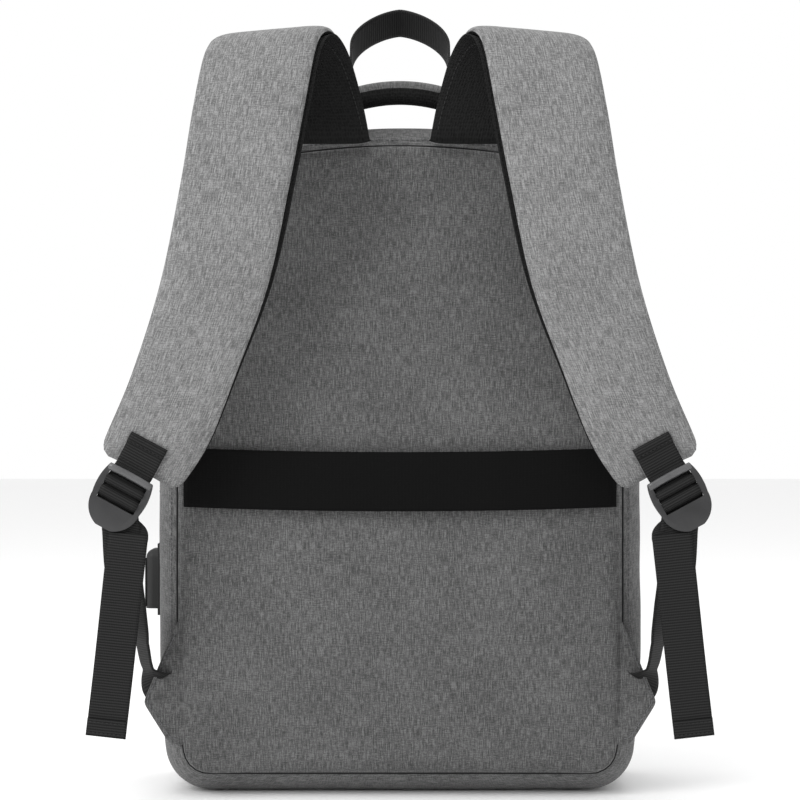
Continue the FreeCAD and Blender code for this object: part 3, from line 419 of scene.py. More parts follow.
def rounded_from_frame(name: str, node: str, material: Material, edge: float) -> Object:
    """A copy of a frame node with its doubles merged and its edges rounded by edge millimetres."""
    work = bmesh.new()
    work.from_mesh(frame["nodes"][node].data)
    bmesh.ops.remove_doubles(work, verts=work.verts, dist=1e-6)
    bmesh.ops.dissolve_limit(work, angle_limit=math.radians(4), verts=work.verts, edges=work.edges)
    mesh = bpy.data.meshes.new(name)
    work.to_mesh(mesh)
    work.free()
    obj = finish_mesh(name, mesh, [material], False)
    bevel = obj.modifiers.new("edges", "BEVEL")
    bevel.width = edge * MM
    bevel.segments = 3
    bevel.limit_method = "ANGLE"
    bevel.angle_limit = math.radians(28)
    bevel.harden_normals = False
    settle(obj)
    obj.data.shade_smooth()
    obj.data.set_sharp_from_angle(angle=math.radians(38))
    return obj


def settle(obj: Object) -> None:
    """Turn an object's modifiers into its mesh."""
    view = bpy.context.evaluated_depsgraph_get()
    mesh = bpy.data.meshes.new_from_object(obj.evaluated_get(view))
    obj.modifiers.clear()
    obj.data = mesh


def inflate(obj: Object, held: Callable[[Array], Array], pressure: float, cap: float) -> None:
    """Puff a closed piece up as stuffed cloth and keep the result as its mesh.

    Args:
        obj: the piece; its mesh changes.
        held: takes the points in millimetres, gives 1 where the cloth is sewn down, 0 where free.
        pressure: the stuffing's push.
        cap: the most that a point may move, in millimetres.
    """
    count = len(obj.data.vertices)
    rest = np.zeros(count * 3, np.float32)
    obj.data.vertices.foreach_get("co", rest)
    rest = rest.reshape(-1, 3)
    group = obj.vertex_groups.new(name="sewn")
    for index, weight in enumerate(held(rest / MM)):
        group.add([index], float(weight), "REPLACE")
    cloth = obj.modifiers.new("stuffing", "CLOTH")
    cloth.settings.use_pressure = True
    cloth.settings.uniform_pressure_force = pressure
    cloth.settings.effector_weights.gravity = 0.0
    cloth.settings.vertex_group_mass = "sewn"
    cloth.settings.quality = 4
    cloth.settings.mass = 0.25
    cloth.settings.tension_stiffness = 12.0
    cloth.settings.compression_stiffness = 12.0
    cloth.settings.bending_stiffness = 0.6
    cloth.collision_settings.use_collision = False
    scene = bpy.context.scene
    for step in range(1, 15):
        scene.frame_set(step)
    view = bpy.context.evaluated_depsgraph_get()
    soft = obj.evaluated_get(view).to_mesh()
    moved = np.zeros(count * 3, np.float32)
    soft.vertices.foreach_get("co", moved)
    move = moved.reshape(-1, 3) - rest
    far = np.linalg.norm(move, axis=1)
    limit = cap * MM
    move *= np.where(far > limit, limit / np.maximum(far, 1e-9), 1.0)[:, None]
    obj.evaluated_get(view).to_mesh_clear()
    obj.modifiers.clear()
    obj.vertex_groups.clear()
    scene.frame_set(1)
    obj.data.vertices.foreach_set("co", (rest + move).astype(np.float32).ravel())
    obj.data.update()
    LOG.info("%s puffed by up to %.1f mm", obj.name, min(cap, far.max() / MM))


# ---- finishes
def linear(code: str) -> tuple[float, float, float, float]:
    """An sRGB hex colour as linear values."""
    parts = [int(code[i:i + 2], 16) / 255 for i in (1, 3, 5)]
    parts = [c / 12.92 if c <= 0.04045 else ((c + 0.055) / 1.055) ** 2.4 for c in parts]
    return (parts[0], parts[1], parts[2], 1.0)


def add(tree: Tree, kind: str, inputs: Optional[dict] = None, **settings: object) -> Node:
    """Add a node with its settings and inputs.

    Args:
        tree: the node tree.
        kind: the node's type.
        inputs: input name or number to a value or to another node's socket.
        settings: the node's own options.
    """
    made = tree.nodes.new(kind)
    for name, value in settings.items():
        setattr(made, name, value)
    for name, value in (inputs or {}).items():
        if isinstance(value, Socket):
            tree.links.new(value, made.inputs[name])
        else:
            made.inputs[name].default_value = value
    return made


class Follow(Enum):
    """What a pattern lies on."""

    CLOTH = "UV"
    PLACE = "Object"


def new_surface(name: str, follow: Follow, look: dict) -> tuple[Material, Tree, Socket, Node]:
    """A material with only its coordinates and a shader of a given look, to be built on."""
    material = bpy.data.materials.new(name)
    material.use_nodes = True
    tree = material.node_tree
    tree.nodes.clear()
    shader = add(tree, "ShaderNodeBsdfPrincipled", look)
    add(tree, "ShaderNodeOutputMaterial", {"Surface": shader.outputs["BSDF"]})
    place = add(tree, "ShaderNodeTexCoord")
    return material, tree, place.outputs[follow.value], shader


def scaled(tree: Tree, place: Socket, x: float, y: float, z: float) -> Socket:
    """Coordinates in which one unit is x, y, z millimetres."""
    size = tuple(1.0 / (v * MM) for v in (x, y, z))
    return add(tree, "ShaderNodeMapping", {"Vector": place, "Scale": size}).outputs["Vector"]


def ramp(tree: Tree, value: Socket, stops: Sequence[tuple[float, str]]) -> Socket:
    """Colours along a value."""
    made = add(tree, "ShaderNodeValToRGB", {"Fac": value})
    elements = made.color_ramp.elements
    while len(elements) < len(stops):
        elements.new(0.5)
    for element, (at, code) in zip(elements, stops):
        element.position = at
        element.color = linear(code)
    return made.outputs["Color"]


def weigh(tree: Tree, parts: Sequence[tuple[Socket, float]]) -> Socket:
    """The weighted sum of values."""
    total = None
    for value, weight in parts:
        inputs = {0: value, 1: weight, 2: 0.0 if total is None else total}
        total = add(tree, "ShaderNodeMath", inputs, operation="MULTIPLY_ADD").outputs[0]
    return total


def bump(tree: Tree, shader: Node, height: Socket, strength: float, depth: float) -> None:
    """Raise the surface by a height, at most depth millimetres."""
    made = add(tree, "ShaderNodeBump", {"Height": height, "Strength": strength, "Distance": depth * MM})
    tree.links.new(made.outputs["Normal"], shader.inputs["Normal"])


@dataclass(frozen=True)
class HeatherCloth:
    """Melange polyester canvas: dark and pale fibres spun together, so it shows upright slubs."""

    name: str
    dark: str
    base: str
    pale: str
    slub: float = 7.5        # length of a thick spot in the yarn
    yarn: float = 0.7        # coarser than the real 0.5 mm, to show
    follow: Follow = Follow.CLOTH

    def make(self) -> Material:
        """Build the material."""
        material, tree, place, shader = new_surface(self.name, self.follow,
                                                    {"Roughness": 0.93, "Specular IOR Level": 0.18,
                                                     "Sheen Weight": 0.12, "Sheen Roughness": 0.5})
        flat = self.follow is Follow.CLOTH
        upright = (self.yarn, self.slub, self.yarn) if flat else (self.yarn, self.yarn, self.slub)
        level = (self.slub * 0.6, self.yarn * 0.9, self.slub) if flat else (self.slub * 0.6, self.slub,
                                                                            self.yarn)
        warp = add(tree, "ShaderNodeTexNoise", {"Vector": scaled(tree, place, *upright), "Scale": 1.0,
                                                "Detail": 2.0, "Roughness": 0.7}).outputs["Fac"]
        weft = add(tree, "ShaderNodeTexNoise", {"Vector": scaled(tree, place, *level), "Scale": 1.0,
                                                "Detail": 2.0, "Roughness": 0.7}).outputs["Fac"]
        grain = add(tree, "ShaderNodeTexNoise", {"Vector": scaled(tree, place, 0.7, 0.7, 0.7), "Scale": 1.0,
                                                 "Detail": 1.0}).outputs["Fac"]
        cloud = add(tree, "ShaderNodeTexNoise", {"Vector": scaled(tree, place, 45, 45, 45), "Scale": 1.0,
                                                 "Detail": 3.0}).outputs["Fac"]
        mixed = weigh(tree, [(warp, 0.44), (weft, 0.30), (grain, 0.18), (cloud, 0.08)])
        colour = ramp(tree, mixed, [(0.42, self.dark), (0.5, self.base), (0.58, self.pale)])
        tree.links.new(colour, shader.inputs["Base Color"])
        bump(tree, shader, weigh(tree, [(warp, 0.5), (grain, 0.5)]), 0.45, 0.5)
        return material


@dataclass(frozen=True)
class RibbedWeave:
    """Woven band: polypropylene webbing, elastic, zip tape or lining, with cross ribs that catch light."""

    name: str
    low: str
    high: str
    rib: float = 1.7         # distance between ribs along the band
    cord: float = 1.1        # distance between cords across it
    roughness: float = 0.72
    depth: float = 0.35
    specular: float = 0.2
    follow: Follow = Follow.CLOTH

    def make(self) -> Material:
        """Build the material."""
        material, tree, place, shader = new_surface(self.name, self.follow,
                                                    {"Roughness": self.roughness,
                                                     "Specular IOR Level": self.specular})
        flat = self.follow is Follow.CLOTH
        along = "Y" if flat else "Z"
        unit = scaled(tree, place, 1, 1, 1)
        turn = math.pi * 2
        ribs = add(tree, "ShaderNodeTexWave", {"Vector": unit, "Scale": turn / (20.0 * self.rib),
                                               "Distortion": 0.6, "Detail": 1.0, "Detail Scale": 0.4},
                   bands_direction=along).outputs["Fac"]
        cords = add(tree, "ShaderNodeTexWave", {"Vector": unit, "Scale": turn / (20.0 * self.cord),
                                                "Distortion": 0.3}, bands_direction="X").outputs["Fac"]
        fuzz = add(tree, "ShaderNodeTexNoise", {"Vector": unit, "Scale": 1.3, "Detail": 2.0}).outputs["Fac"]
        height = weigh(tree, [(ribs, 0.62), (cords, 0.2), (fuzz, 0.18)])
        tree.links.new(ramp(tree, height, [(0.25, self.low), (0.8, self.high)]), shader.inputs["Base Color"])
        bump(tree, shader, height, 0.6, self.depth)
        return material


@dataclass(frozen=True)
class AirMesh:
    """Knitted polyester spacer mesh: rows of small dark holes between matte black ribs."""

    name: str
    hole: float = 1.7
    low: str = "#040404"
    high: str = "#161616"
    follow: Follow = Follow.CLOTH

    def make(self) -> Material:
        """Build the material."""
        material, tree, place, shader = new_surface(self.name, self.follow,
                                                    {"Roughness": 0.85, "Specular IOR Level": 0.25})
        cells = add(tree, "ShaderNodeTexVoronoi", {"Vector": scaled(tree, place, self.hole, self.hole * 1.2,
                                                                    self.hole), "Scale": 1.0,
                                                   "Randomness": 0.35}).outputs["Distance"]
        tree.links.new(ramp(tree, cells, [(0.2, self.low), (0.55, self.high)]), shader.inputs["Base Color"])
        bump(tree, shader, cells, 0.9, 0.9)
        return material


@dataclass(frozen=True)
class Moulded:
    """Moulded or rolled plastic, rubber, board or foam: one tone with a fine grain and soft wear."""

    name: str
    base: str
    worn: str
    roughness: float
    grain: float = 0.6
    depth: float = 0.05
    coat: float = 0.0

    def make(self) -> Material:
        """Build the material."""
        material, tree, place, shader = new_surface(self.name, Follow.PLACE,
                                                    {"Coat Weight": self.coat, "Coat Roughness": 0.1})
        fine = add(tree, "ShaderNodeTexNoise", {"Vector": scaled(tree, place, *[self.grain] * 3),
                                                "Scale": 1.0, "Detail": 2.0}).outputs["Fac"]
        broad = add(tree, "ShaderNodeTexNoise", {"Vector": scaled(tree, place, 14, 14, 14), "Scale": 1.0,
                                                 "Detail": 3.0}).outputs["Fac"]
        mixed = weigh(tree, [(fine, 0.35), (broad, 0.65)])
        tree.links.new(ramp(tree, mixed, [(0.35, self.base), (0.68, self.worn)]),
                       shader.inputs["Base Color"])
        spread = add(tree, "ShaderNodeMapRange", {"Value": broad, "To Min": self.roughness * 0.88,
                                                  "To Max": min(1.0, self.roughness * 1.12)})
        tree.links.new(spread.outputs[0], shader.inputs["Roughness"])
        bump(tree, shader, fine, 0.5, self.depth)
        return material


@dataclass(frozen=True)
class Metal:
    """Die-cast or drawn metal, plated or enamelled, with fine draw marks."""

    name: str
    base: str
    worn: str
    metallic: float
    roughness: float

    def make(self) -> Material:
        """Build the material."""
        material, tree, place, shader = new_surface(self.name, Follow.PLACE,
                                                    {"Metallic": self.metallic, "Roughness": self.roughness})
        marks = add(tree, "ShaderNodeTexNoise", {"Vector": scaled(tree, place, 0.5, 0.5, 4.0), "Scale": 1.0,
                                                 "Detail": 3.0}).outputs["Fac"]
        tree.links.new(ramp(tree, marks, [(0.35, self.base), (0.7, self.worn)]), shader.inputs["Base Color"])
        bump(tree, shader, marks, 0.25, 0.03)
        return material


@dataclass(frozen=True)
class SolarCell:
    """Monocrystalline silicon behind film: near-black blue with thin silver fingers and busbars."""

    name: str = "monocrystalline_silicon_cell"
    finger: float = 2.0
    busbar: float = 20.7
    silicon: str = "#070a1c"
    silver: str = "#7f8894"

    def make(self) -> Material:
        """Build the material."""
        material, tree, place, shader = new_surface(self.name, Follow.PLACE,
                                                    {"Roughness": 0.35, "Specular IOR Level": 0.25,
                                                     "Coat Weight": 0.15, "Coat Roughness": 0.12})
        split = add(tree, "ShaderNodeSeparateXYZ",
                    {"Vector": scaled(tree, place, self.busbar, 1, self.finger)})
        lines = []
        for axis, width in (("X", 0.055), ("Z", 0.12)):
            part = add(tree, "ShaderNodeMath", {0: split.outputs[axis]}, operation="FRACT").outputs[0]
            lines.append(add(tree, "ShaderNodeMath", {0: part, 1: width}, operation="LESS_THAN").outputs[0])
        faint = add(tree, "ShaderNodeMath", {0: lines[1], 1: 0.3}, operation="MULTIPLY").outputs[0]
        both = add(tree, "ShaderNodeMath", {0: lines[0], 1: faint}, operation="MAXIMUM").outputs[0]
        tone = add(tree, "ShaderNodeTexNoise", {"Vector": scaled(tree, place, 40, 40, 40),
                                                "Scale": 1.0}).outputs["Fac"]
        blue = ramp(tree, tone, [(0.3, self.silicon), (0.7, "#0c1230")])
        mix = add(tree, "ShaderNodeMixRGB", {"Fac": both, "Color1": blue, "Color2": linear(self.silver)})
        tree.links.new(mix.outputs[0], shader.inputs["Base Color"])
        return material


@dataclass(frozen=True)
class Finishes:
    """Every finish of the pack."""

    # the same canvas as the back made lighter: painted light
    canvas_painted_light: Material
    # the same canvas as the straps made darker: painted shade
    canvas_painted_shade: Material
    side_cloth: Material
    mesh: Material
    webbing: Material
    webbing_place: Material
    elastic: Material
    lining: Material
    lining_place: Material
    tape: Material
    foam: Material
    board: Material
    coil: Material
    enamel: Material
    acetal: Material
    # lighter acetal for the buckle's top bar: painted highlight
    painted_highlight_acetal: Material
    rubber: Material
    steel: Material
    socket_plastic: Material
    laminate: Material
    silicon: Material
    case: Material
    black_zinc: Material
    thread_grey: Material
    thread_black: Material

    def walls(self) -> list[Material]:
        """Cloth outside, lining inside."""
        return [self.side_cloth, self.lining]


def make_finishes() -> Finishes:
    """Build every finish once."""
    # lighter copy of the canvas for the straps: painted light where they face the lamps
    return Finishes(canvas_painted_light=HeatherCloth("melange_canvas_painted_light", "#5a5a5a", "#757575",
                                             "#929292").make(),
                    # darker copy of the strap canvas: painted shade for the shadowed back
                    canvas_painted_shade=HeatherCloth("melange_canvas_painted_shade", "#3e3e3e", "#555555", "#6f6f6f").make(),
                    side_cloth=HeatherCloth("melange_canvas_sides", "#464646", "#606060", "#7a7a7a").make(),
                    mesh=AirMesh("knitted_spacer_mesh").make(),
                    webbing=RibbedWeave("polypropylene_webbing", "#0c0c0c", "#272727").make(),
                    webbing_place=RibbedWeave("polypropylene_webbing_sewn", "#0c0c0c", "#272727",
                                              follow=Follow.PLACE).make(),
                    elastic=RibbedWeave("elastic_webbing_fine", "#050505", "#0e0e0e", rib=0.9, cord=1.6,
                                        depth=0.2, specular=0.08).make(),
                    lining=RibbedWeave("ripstop_lining", "#1d1e21", "#34363a", rib=1.2, cord=1.2,
                                       depth=0.1).make(),
                    lining_place=RibbedWeave("ripstop_lining_inside", "#1d1e21", "#34363a", rib=1.2,
                                             cord=1.2, depth=0.1, follow=Follow.PLACE).make(),
                    tape=RibbedWeave("woven_zip_tape", "#111112", "#2a2a2b", rib=1.0, cord=1.0, depth=0.15,
                                     follow=Follow.PLACE).make(),
                    foam=Moulded("closed_cell_foam", "#55565a", "#66676b", 0.9, grain=0.9, depth=0.3).make(),
                    board=Moulded("polyethylene_board", "#26272a", "#303135", 0.6).make(),
                    coil=Moulded("nylon_coil", "#151516", "#242425", 0.45, grain=0.4).make(),
                    enamel=Metal("black_enamelled_zinc", "#18181a", "#2c2c2f", 0.5, 0.38).make(),
                    acetal=Moulded("satin_moulded_acetal", "#1f1f20", "#2c2c2d", 0.3, grain=0.5,
                                   # the top bar's lighter acetal is a painted highlight, not polish
                                   depth=0.04).make(), painted_highlight_acetal=Moulded("acetal_with_painted_highlight", "#474748",
                                                                        "#5c5c5d", 0.26, grain=0.5,
                                                                        depth=0.03).make(),
                    rubber=Moulded("soft_moulded_rubber", "#101010", "#191919", 0.62, grain=0.5,
                                   depth=0.05).make(), steel=Metal("nickel_plated_steel", "#8f9092",
                                                                   "#b5b6b8", 1.0, 0.28).make(),
                    socket_plastic=Moulded("moulded_tongue_plastic", "#e8e8e6", "#f4f4f2", 0.4).make(),
                    laminate=Moulded("clear_film_laminate", "#0a0b0e", "#101216", 0.4, grain=1.5, depth=0.08,
                                     coat=0.15).make(), silicon=SolarCell().make(),
                    case=Moulded("matte_abs_case", "#222224", "#2d2d30", 0.55).make(),
                    black_zinc=Metal("black_zinc_steel", "#3a3a3c", "#55555a", 0.9, 0.4).make(),
                    thread_grey=Moulded("spun_polyester_thread_grey", "#58585a", "#6c6c6e", 0.8,
                                        grain=0.3).make(),
                    thread_black=Moulded("spun_polyester_thread_black", "#0b0b0b", "#151515", 0.7,
                                         grain=0.3).make())


# ---- repeats along a line
class Repeater:
    """Small rounded pieces set along lines: stitches, zip coils and ribs."""

    def __init__(self) -> None:
        """Build the tree once."""
        tree = bpy.data.node_groups.new("set_along_lines", "GeometryNodeTree")
        face = tree.interface
        for label, kind in (("Geometry", "Geometry"), ("Pitch", "Float"), ("Size", "Vector"),
                            ("Tilt", "Float"), ("Finish", "Material")):
            face.new_socket(label, in_out="INPUT", socket_type="NodeSocket" + kind)
        face.new_socket("Geometry", in_out="OUTPUT", socket_type="NodeSocketGeometry")
        given = add(tree, "NodeGroupInput").outputs
        curve = add(tree, "GeometryNodeMeshToCurve", {"Mesh": given["Geometry"]})
        even = add(tree, "GeometryNodeResampleCurve", {"Curve": curve.outputs[0], "Length": given["Pitch"]},
                   mode="LENGTH")
        tangent = add(tree, "GeometryNodeInputTangent").outputs[0]
        out = add(tree, "GeometryNodeInputNamedAttribute", {"Name": "out"},
                  data_type="FLOAT_VECTOR").outputs[0]
        along = add(tree, "FunctionNodeAlignRotationToVector", {"Vector": tangent}, axis="Z")
        up = add(tree, "FunctionNodeAlignRotationToVector", {"Rotation": along.outputs[0], "Vector": out},
                 axis="Y", pivot_axis="Z")
        lean = add(tree, "ShaderNodeCombineXYZ", {"Y": given["Tilt"]})
        spin = add(tree, "FunctionNodeEulerToRotation", {0: lean.outputs[0]})
        turned = add(tree, "FunctionNodeRotateRotation",
                     {"Rotation": up.outputs[0], "Rotate By": spin.outputs[0]}, rotation_space="LOCAL")
        bead = add(tree, "GeometryNodeMeshUVSphere", {"Segments": 8, "Rings": 5, "Radius": 0.5})
        placed = add(tree, "GeometryNodeInstanceOnPoints",
                     {"Points": even.outputs[0], "Instance": bead.outputs[0], "Rotation": turned.outputs[0],
                      "Scale": given["Size"]})
        real = add(tree, "GeometryNodeRealizeInstances", {0: placed.outputs[0]})
        dressed = add(tree, "GeometryNodeSetMaterial", {"Geometry": real.outputs[0],
                                                        "Material": given["Finish"]})
        add(tree, "NodeGroupOutput", {"Geometry": dressed.outputs[0]})
        self.tree = tree

    def run(self, name: str, lines: Sequence[tuple[Array, Array]], pitch: float, size: Sequence[float],
            finish: Material, tilt: float = 0.0) -> Object:
        """Set pieces along lines and return them as one plain mesh.

        Args:
            name: the piece's name.
            lines: (points, outward directions) in millimetres.
            pitch: distance from one to the next.
            size: width across the line, height off the surface, length along it.
            finish: the material.
            tilt: turn about the outward direction, in radians.
        """
        points, edges, outs = [], [], []
        for line, out in lines:
            start = len(points)
            points += (np.array(line) * MM).tolist()
            outs += np.broadcast_to(np.array(out, float), (len(line), 3)).tolist()
            edges += [(start + i, start + i + 1) for i in range(len(line) - 1)]
        guide = bpy.data.meshes.new(name + "_guide")
        guide.from_pydata(points, edges, [])
        attribute = guide.attributes.new("out", "FLOAT_VECTOR", "POINT")
        attribute.data.foreach_set("vector", np.array(outs, np.float32).ravel())
        obj = bpy.data.objects.new(name + "_guide", guide)
        bpy.context.scene.collection.objects.link(obj)
        modifier = obj.modifiers.new("repeat", "NODES")
        modifier.node_group = self.tree
        values = {"Pitch": pitch * MM, "Size": [v * MM for v in size], "Tilt": tilt, "Finish": finish}
        for item in self.tree.interface.items_tree:
            if item.in_out == "INPUT" and item.name in values:
                modifier[item.identifier] = values[item.name]
        bpy.context.view_layer.update()
        mesh = bpy.data.meshes.new_from_object(obj.evaluated_get(bpy.context.evaluated_depsgraph_get()))
        bpy.data.objects.remove(obj)
        mesh.name = name
        made = bpy.data.objects.new(name, mesh)
        for polygon in mesh.polygons:
            polygon.use_smooth = True
        bpy.context.scene.collection.objects.link(made)
        return made


# Size across, off the surface and along, and the distance from one to the next, in millimetres.
STITCH = (0.75, 0.55, 2.5)
STITCH_PITCH = 3.3
FINE_STITCH = (0.7, 0.5, 1.9)
FINE_PITCH = 2.6
COIL_TURN = (1.9, 1.3, 1.35)
COIL_TILT = 0.25             # radians
COIL_OFFSET = 1.5            # from the zip's middle to the middle of each coil


def dressed(obj: Object, body: str, slot: str, *nodes: str) -> Object:
    """Ride a finished piece on its body, in place of frame nodes, and report it."""
    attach(obj, body)
    if nodes:
        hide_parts(*nodes)
    LOG.info("%s: %d faces on %s", obj.name, len(obj.data.polygons), body)
    return obj


@dataclass
class Maker:
    """What every sub-assembly works with."""

    finishes: Finishes
    repeater: Repeater

    def sew(self, name: str, lines: Sequence[tuple[Array, Array]], body: str, slot: str, fine: bool = False,
            grey: bool = False) -> None:
        """Set rows of stitches and ride them on a body.

        Args:
            name: the piece's name.
            lines: (points, outward directions) in millimetres.
            body: the body that it rides on.
            slot: not used.
            fine: True for the shorter stitches of sewn webbing.
            grey: True for grey thread, otherwise black.
        """
        pitch, size = (FINE_PITCH, FINE_STITCH) if fine else (STITCH_PITCH, STITCH)
        thread = self.finishes.thread_grey if grey else self.finishes.thread_black
        dressed(self.repeater.run(name, lines, pitch, size, thread), body, slot)


# ---- body
@dataclass
class Body(Maker):
    """Cloth shell of the pack and its lid."""

    outline: Outline
    seam_inset: float = 14.0
    wall: float = 3.0
    panel_edge: float = 3.5
    seam_roll: float = 0.75
    around: int = 260

    def build(self) -> None:
        """Make every piece of the shell."""
        self.back_panel()
        self.rear_gusset()
        self.boot()
        self.lid_gusset()
        self.lid_front()

    def levels(self) -> dict[str, float]:
        """Depths and heights of the shell, from the frame."""
        cover_low = corner("back_panel_cover")[0]
        gusset_low, gusset_high = corner("rear_gusset")
        lid_low, lid_high = corner("lid_gusset")
        front_low, front_high = corner("lid_front_panel")
        return {"back": cover_low[1], "seam": gusset_low[1], "rear": gusset_high[1], "boot": gusset_low[2],
                "lid": lid_low[1], "panel": lid_high[1], "front": front_high[1], "lid_low": lid_low[2],
                "front_low": front_low[2]}

    def back_panel(self) -> None:
        """Padded back panel with soft edges, and the seam rolled round it."""
        at = self.levels()
        n = self.around
        face, seam = at["back"], at["seam"]
        turns = []
        for share in np.linspace(0.0, 1.0, 7):
            angle = share * math.pi / 2
            inset = self.seam_inset + self.panel_edge * (1 - math.cos(angle)) * 1.05
            y = seam + (face + 0.9 - seam) * math.sin(angle)
            turns.append((self.outline.loop(inset, None, n), y))

        def slack(spots: Array) -> Array:
            return 0.45 * waves(spots, 150.0, 3) + 0.12 * waves(spots, 38.0, 4)

        # the face is in the darker copy of the canvas: painted shade
        panel = cushion("back_panel", turns,
                        [(self.outline.loop(self.seam_inset + 1.0, None, n), seam + 0.6)],
                        [self.finishes.canvas_painted_shade, self.finishes.lining_place], 0.9, 40, slack)

        def held(points: Array) -> Array:
            return np.where(points[:, 1] > seam - 1.5, 1.0, 0.0)

        inflate(panel, held, 2.0, 1.2)
        dressed(panel, "pack", "heather_cloth", "back_panel_cover")
        line = self.outline.loop(self.seam_inset - 0.3, None, n)
        self.roll("back_seam_roll_painted_shade", np.vstack([line, line[:1]]), seam + 0.2, "pack")

    def roll(self, name: str, line: Array, y: float, body: str) -> None:
        """A thin rolled seam along an outline; its dark zip-tape finish is the piping's tone and also
        painted shade for the seam's groove.
        """
        spots = at_depth(line, y)
        tangent = normalised(np.gradient(spots, axis=0))
        depth = np.array([0.0, 1.0, 0.0])
        out = np.cross(tangent, depth)
        turn = np.linspace(0, 2 * math.pi, 9)
        grid = spots[:, None, :] + self.seam_roll * (np.cos(turn)[None, :, None] * out[:, None, :]
                                                    + np.sin(turn)[None, :, None] * depth)
        rows, cols = grid.shape[:2]
        quads = net(rows, cols, False)
        mesh = bpy.data.meshes.new(name)
        mesh.from_pydata((grid.reshape(-1, 3) * MM).tolist(), [], quads)
        uv = plain_uv(grid).reshape(-1, 2) * MM
        set_measure(mesh, uv)
        # dark finish: seam piping and painted shade in the groove
        dressed(finish_mesh(name, mesh, [self.finishes.tape]), body, "zip_tape")

    def wall_piece(self, name: str, rows: Sequence[tuple[float, float]], z_cut: float, upper: bool,
                   seed: int) -> Object:
        """A soft wall that follows the outline.

        Args:
            name: the piece's name.
            rows: (Y, inset) from back to front.
            z_cut: height of its lower edge, or of its upper edge if it runs under the base.
            upper: True for the wall over the top, False for the one under the base.
            seed: which slack.
        """
        take = self.outline.above if upper else self.outline.below
        outer, inner = [], []
        for index, (y, inset) in enumerate(rows):
            flat = take(inset, z_cut, self.around)
            edge = min(1.0, index / 2.0, (len(rows) - 1 - index) / 2.0)
            spots = at_depth(flat, y)
            side = outward(flat)
            loose = 0.8 * waves(spots, 95.0, seed) + 0.3 * waves(spots, 30.0, seed + 1)
            spots_out = spots + side * (loose * edge)[:, None] * (1.0 if upper else 0.5)
            if not upper:
                spots_out[:, 2] = np.maximum(spots_out[:, 2], 0.0)
            outer.append(spots_out)
            deep = take(inset + self.wall, z_cut, self.around)
            inner.append(at_depth(deep, y))
        grid = np.array(outer)
        uv = np.stack([grid[:, :, 1], plain_uv(grid.transpose(1, 0, 2)).transpose(1, 0, 2)[:, :, 1]], 2)
        return two_sided(name, grid, np.array(inner), self.finishes.walls(), uv)

    def taper(self, y: float) -> float:
        """How far the outline has shrunk at a depth, with a soft bulge."""
        at = self.levels()
        full = at["seam"] + 21.0
        share = np.clip((full - y) / 21.0, 0.0, 1.0)
        return float(self.seam_inset * (0.35 * share + 0.65 * share ** 2))

    def rear_gusset(self) -> None:
        """Side and top wall behind the zip, with its top stitching."""
        at = self.levels()
        rows = [(y, self.taper(y)) for y in np.linspace(at["seam"], at["rear"], 18)]
        piece = self.wall_piece("rear_gusset_cloth", rows, at["boot"] - 0.5, True, 21)
        dressed(piece, "pack", "heather_cloth", "rear_gusset")
        self.stitches("rear_gusset_stitches", at["rear"] - 3.0, at["boot"] + 6.0, "pack")
        self.stitches("back_seam_stitches", at["seam"] + 4.0, at["boot"] + 6.0, "pack")

    def stitches(self, name: str, y: float, z_low: float, body: str) -> None:
        """A row of stitches round the wall at a depth."""
        line = self.outline.above(self.taper(y) - 0.15, z_low, self.around)
        side = outward(line)
        spots = at_depth(line, y)
        spots = spots + side * 0.55
        row = self.repeater.run(name, [(spots, side)], STITCH_PITCH, STITCH, self.finishes.thread_grey)
        dressed(row, body, "heather_cloth")

    def boot(self) -> None:
        """Base of the pack, up to the fold, with the front's lower edge."""
        at = self.levels()
        rows = [(y, self.taper(y)) for y in np.linspace(at["seam"], at["panel"], 26)]
        walls = self.wall_piece("boot_walls", rows, at["boot"], False, 31)
        dressed(walls, "pack", "heather_cloth", "bottom_boot")
        top = at["front_low"] - 1.0
        outer, inner = [], []
        heights = np.concatenate([np.linspace(0.2, 12, 8), np.linspace(15, top, 9)])
        for z in heights:
            wide = self.outline.width_at(max(z, 0.2)) - 0.2
            x = np.linspace(-wide, wide, 60)
            soft = 3.0 * np.clip(1 - np.minimum(wide - np.abs(x), z) / 5.0, 0, 1) ** 2
            outer.append(np.stack([x, at["front"] - 0.4 - soft, np.full(60, z)], 1))
            inner.append(np.stack([x, np.full(60, at["panel"] + 0.2), np.full(60, z)], 1))
        front = two_sided("boot_front", np.array(outer), np.array(inner), self.finishes.walls())
        dressed(front, "pack", "heather_cloth")

    def lid_gusset(self) -> None:
        """Side and top wall of the lid."""
        at = self.levels()
        rows = [(y, 0.0) for y in np.linspace(at["lid"], at["panel"], 14)]
        piece = self.wall_piece("lid_gusset_cloth", rows, at["lid_low"], True, 41)
        dressed(piece, "lid", "heather_cloth", "lid_gusset")
        self.stitches("lid_gusset_stitches", at["lid"] + 3.0, at["lid_low"] + 4.0, "lid")

    def lid_front(self) -> None:
        """Padded front of the lid and the seam roll round it."""
        at = self.levels()
        low = at["front_low"]
        turns = []
        for share in np.linspace(0.0, 1.0, 6):
            angle = share * math.pi / 2
            turns.append((self.outline.loop(3.2 * (1 - math.cos(angle)), low, self.around),
                          at["panel"] + 0.3 + (at["front"] - at["panel"] - 0.8) * math.sin(angle)))

        def slack(spots: Array) -> Array:
            return 0.3 * waves(spots, 120.0, 7)

        piece = cushion("lid_front_cloth", turns,
                        [(self.outline.loop(1.0, low + 0.5, self.around), at["panel"])],
                        [self.finishes.side_cloth, self.finishes.lining_place], 0.2, 24, slack)
        dressed(piece, "lid", "heather_cloth", "lid_front_panel")
        line = self.outline.above(0.6, low + 2.0, self.around)
        self.roll("front_seam_roll", line, at["panel"] + 0.4, "lid")


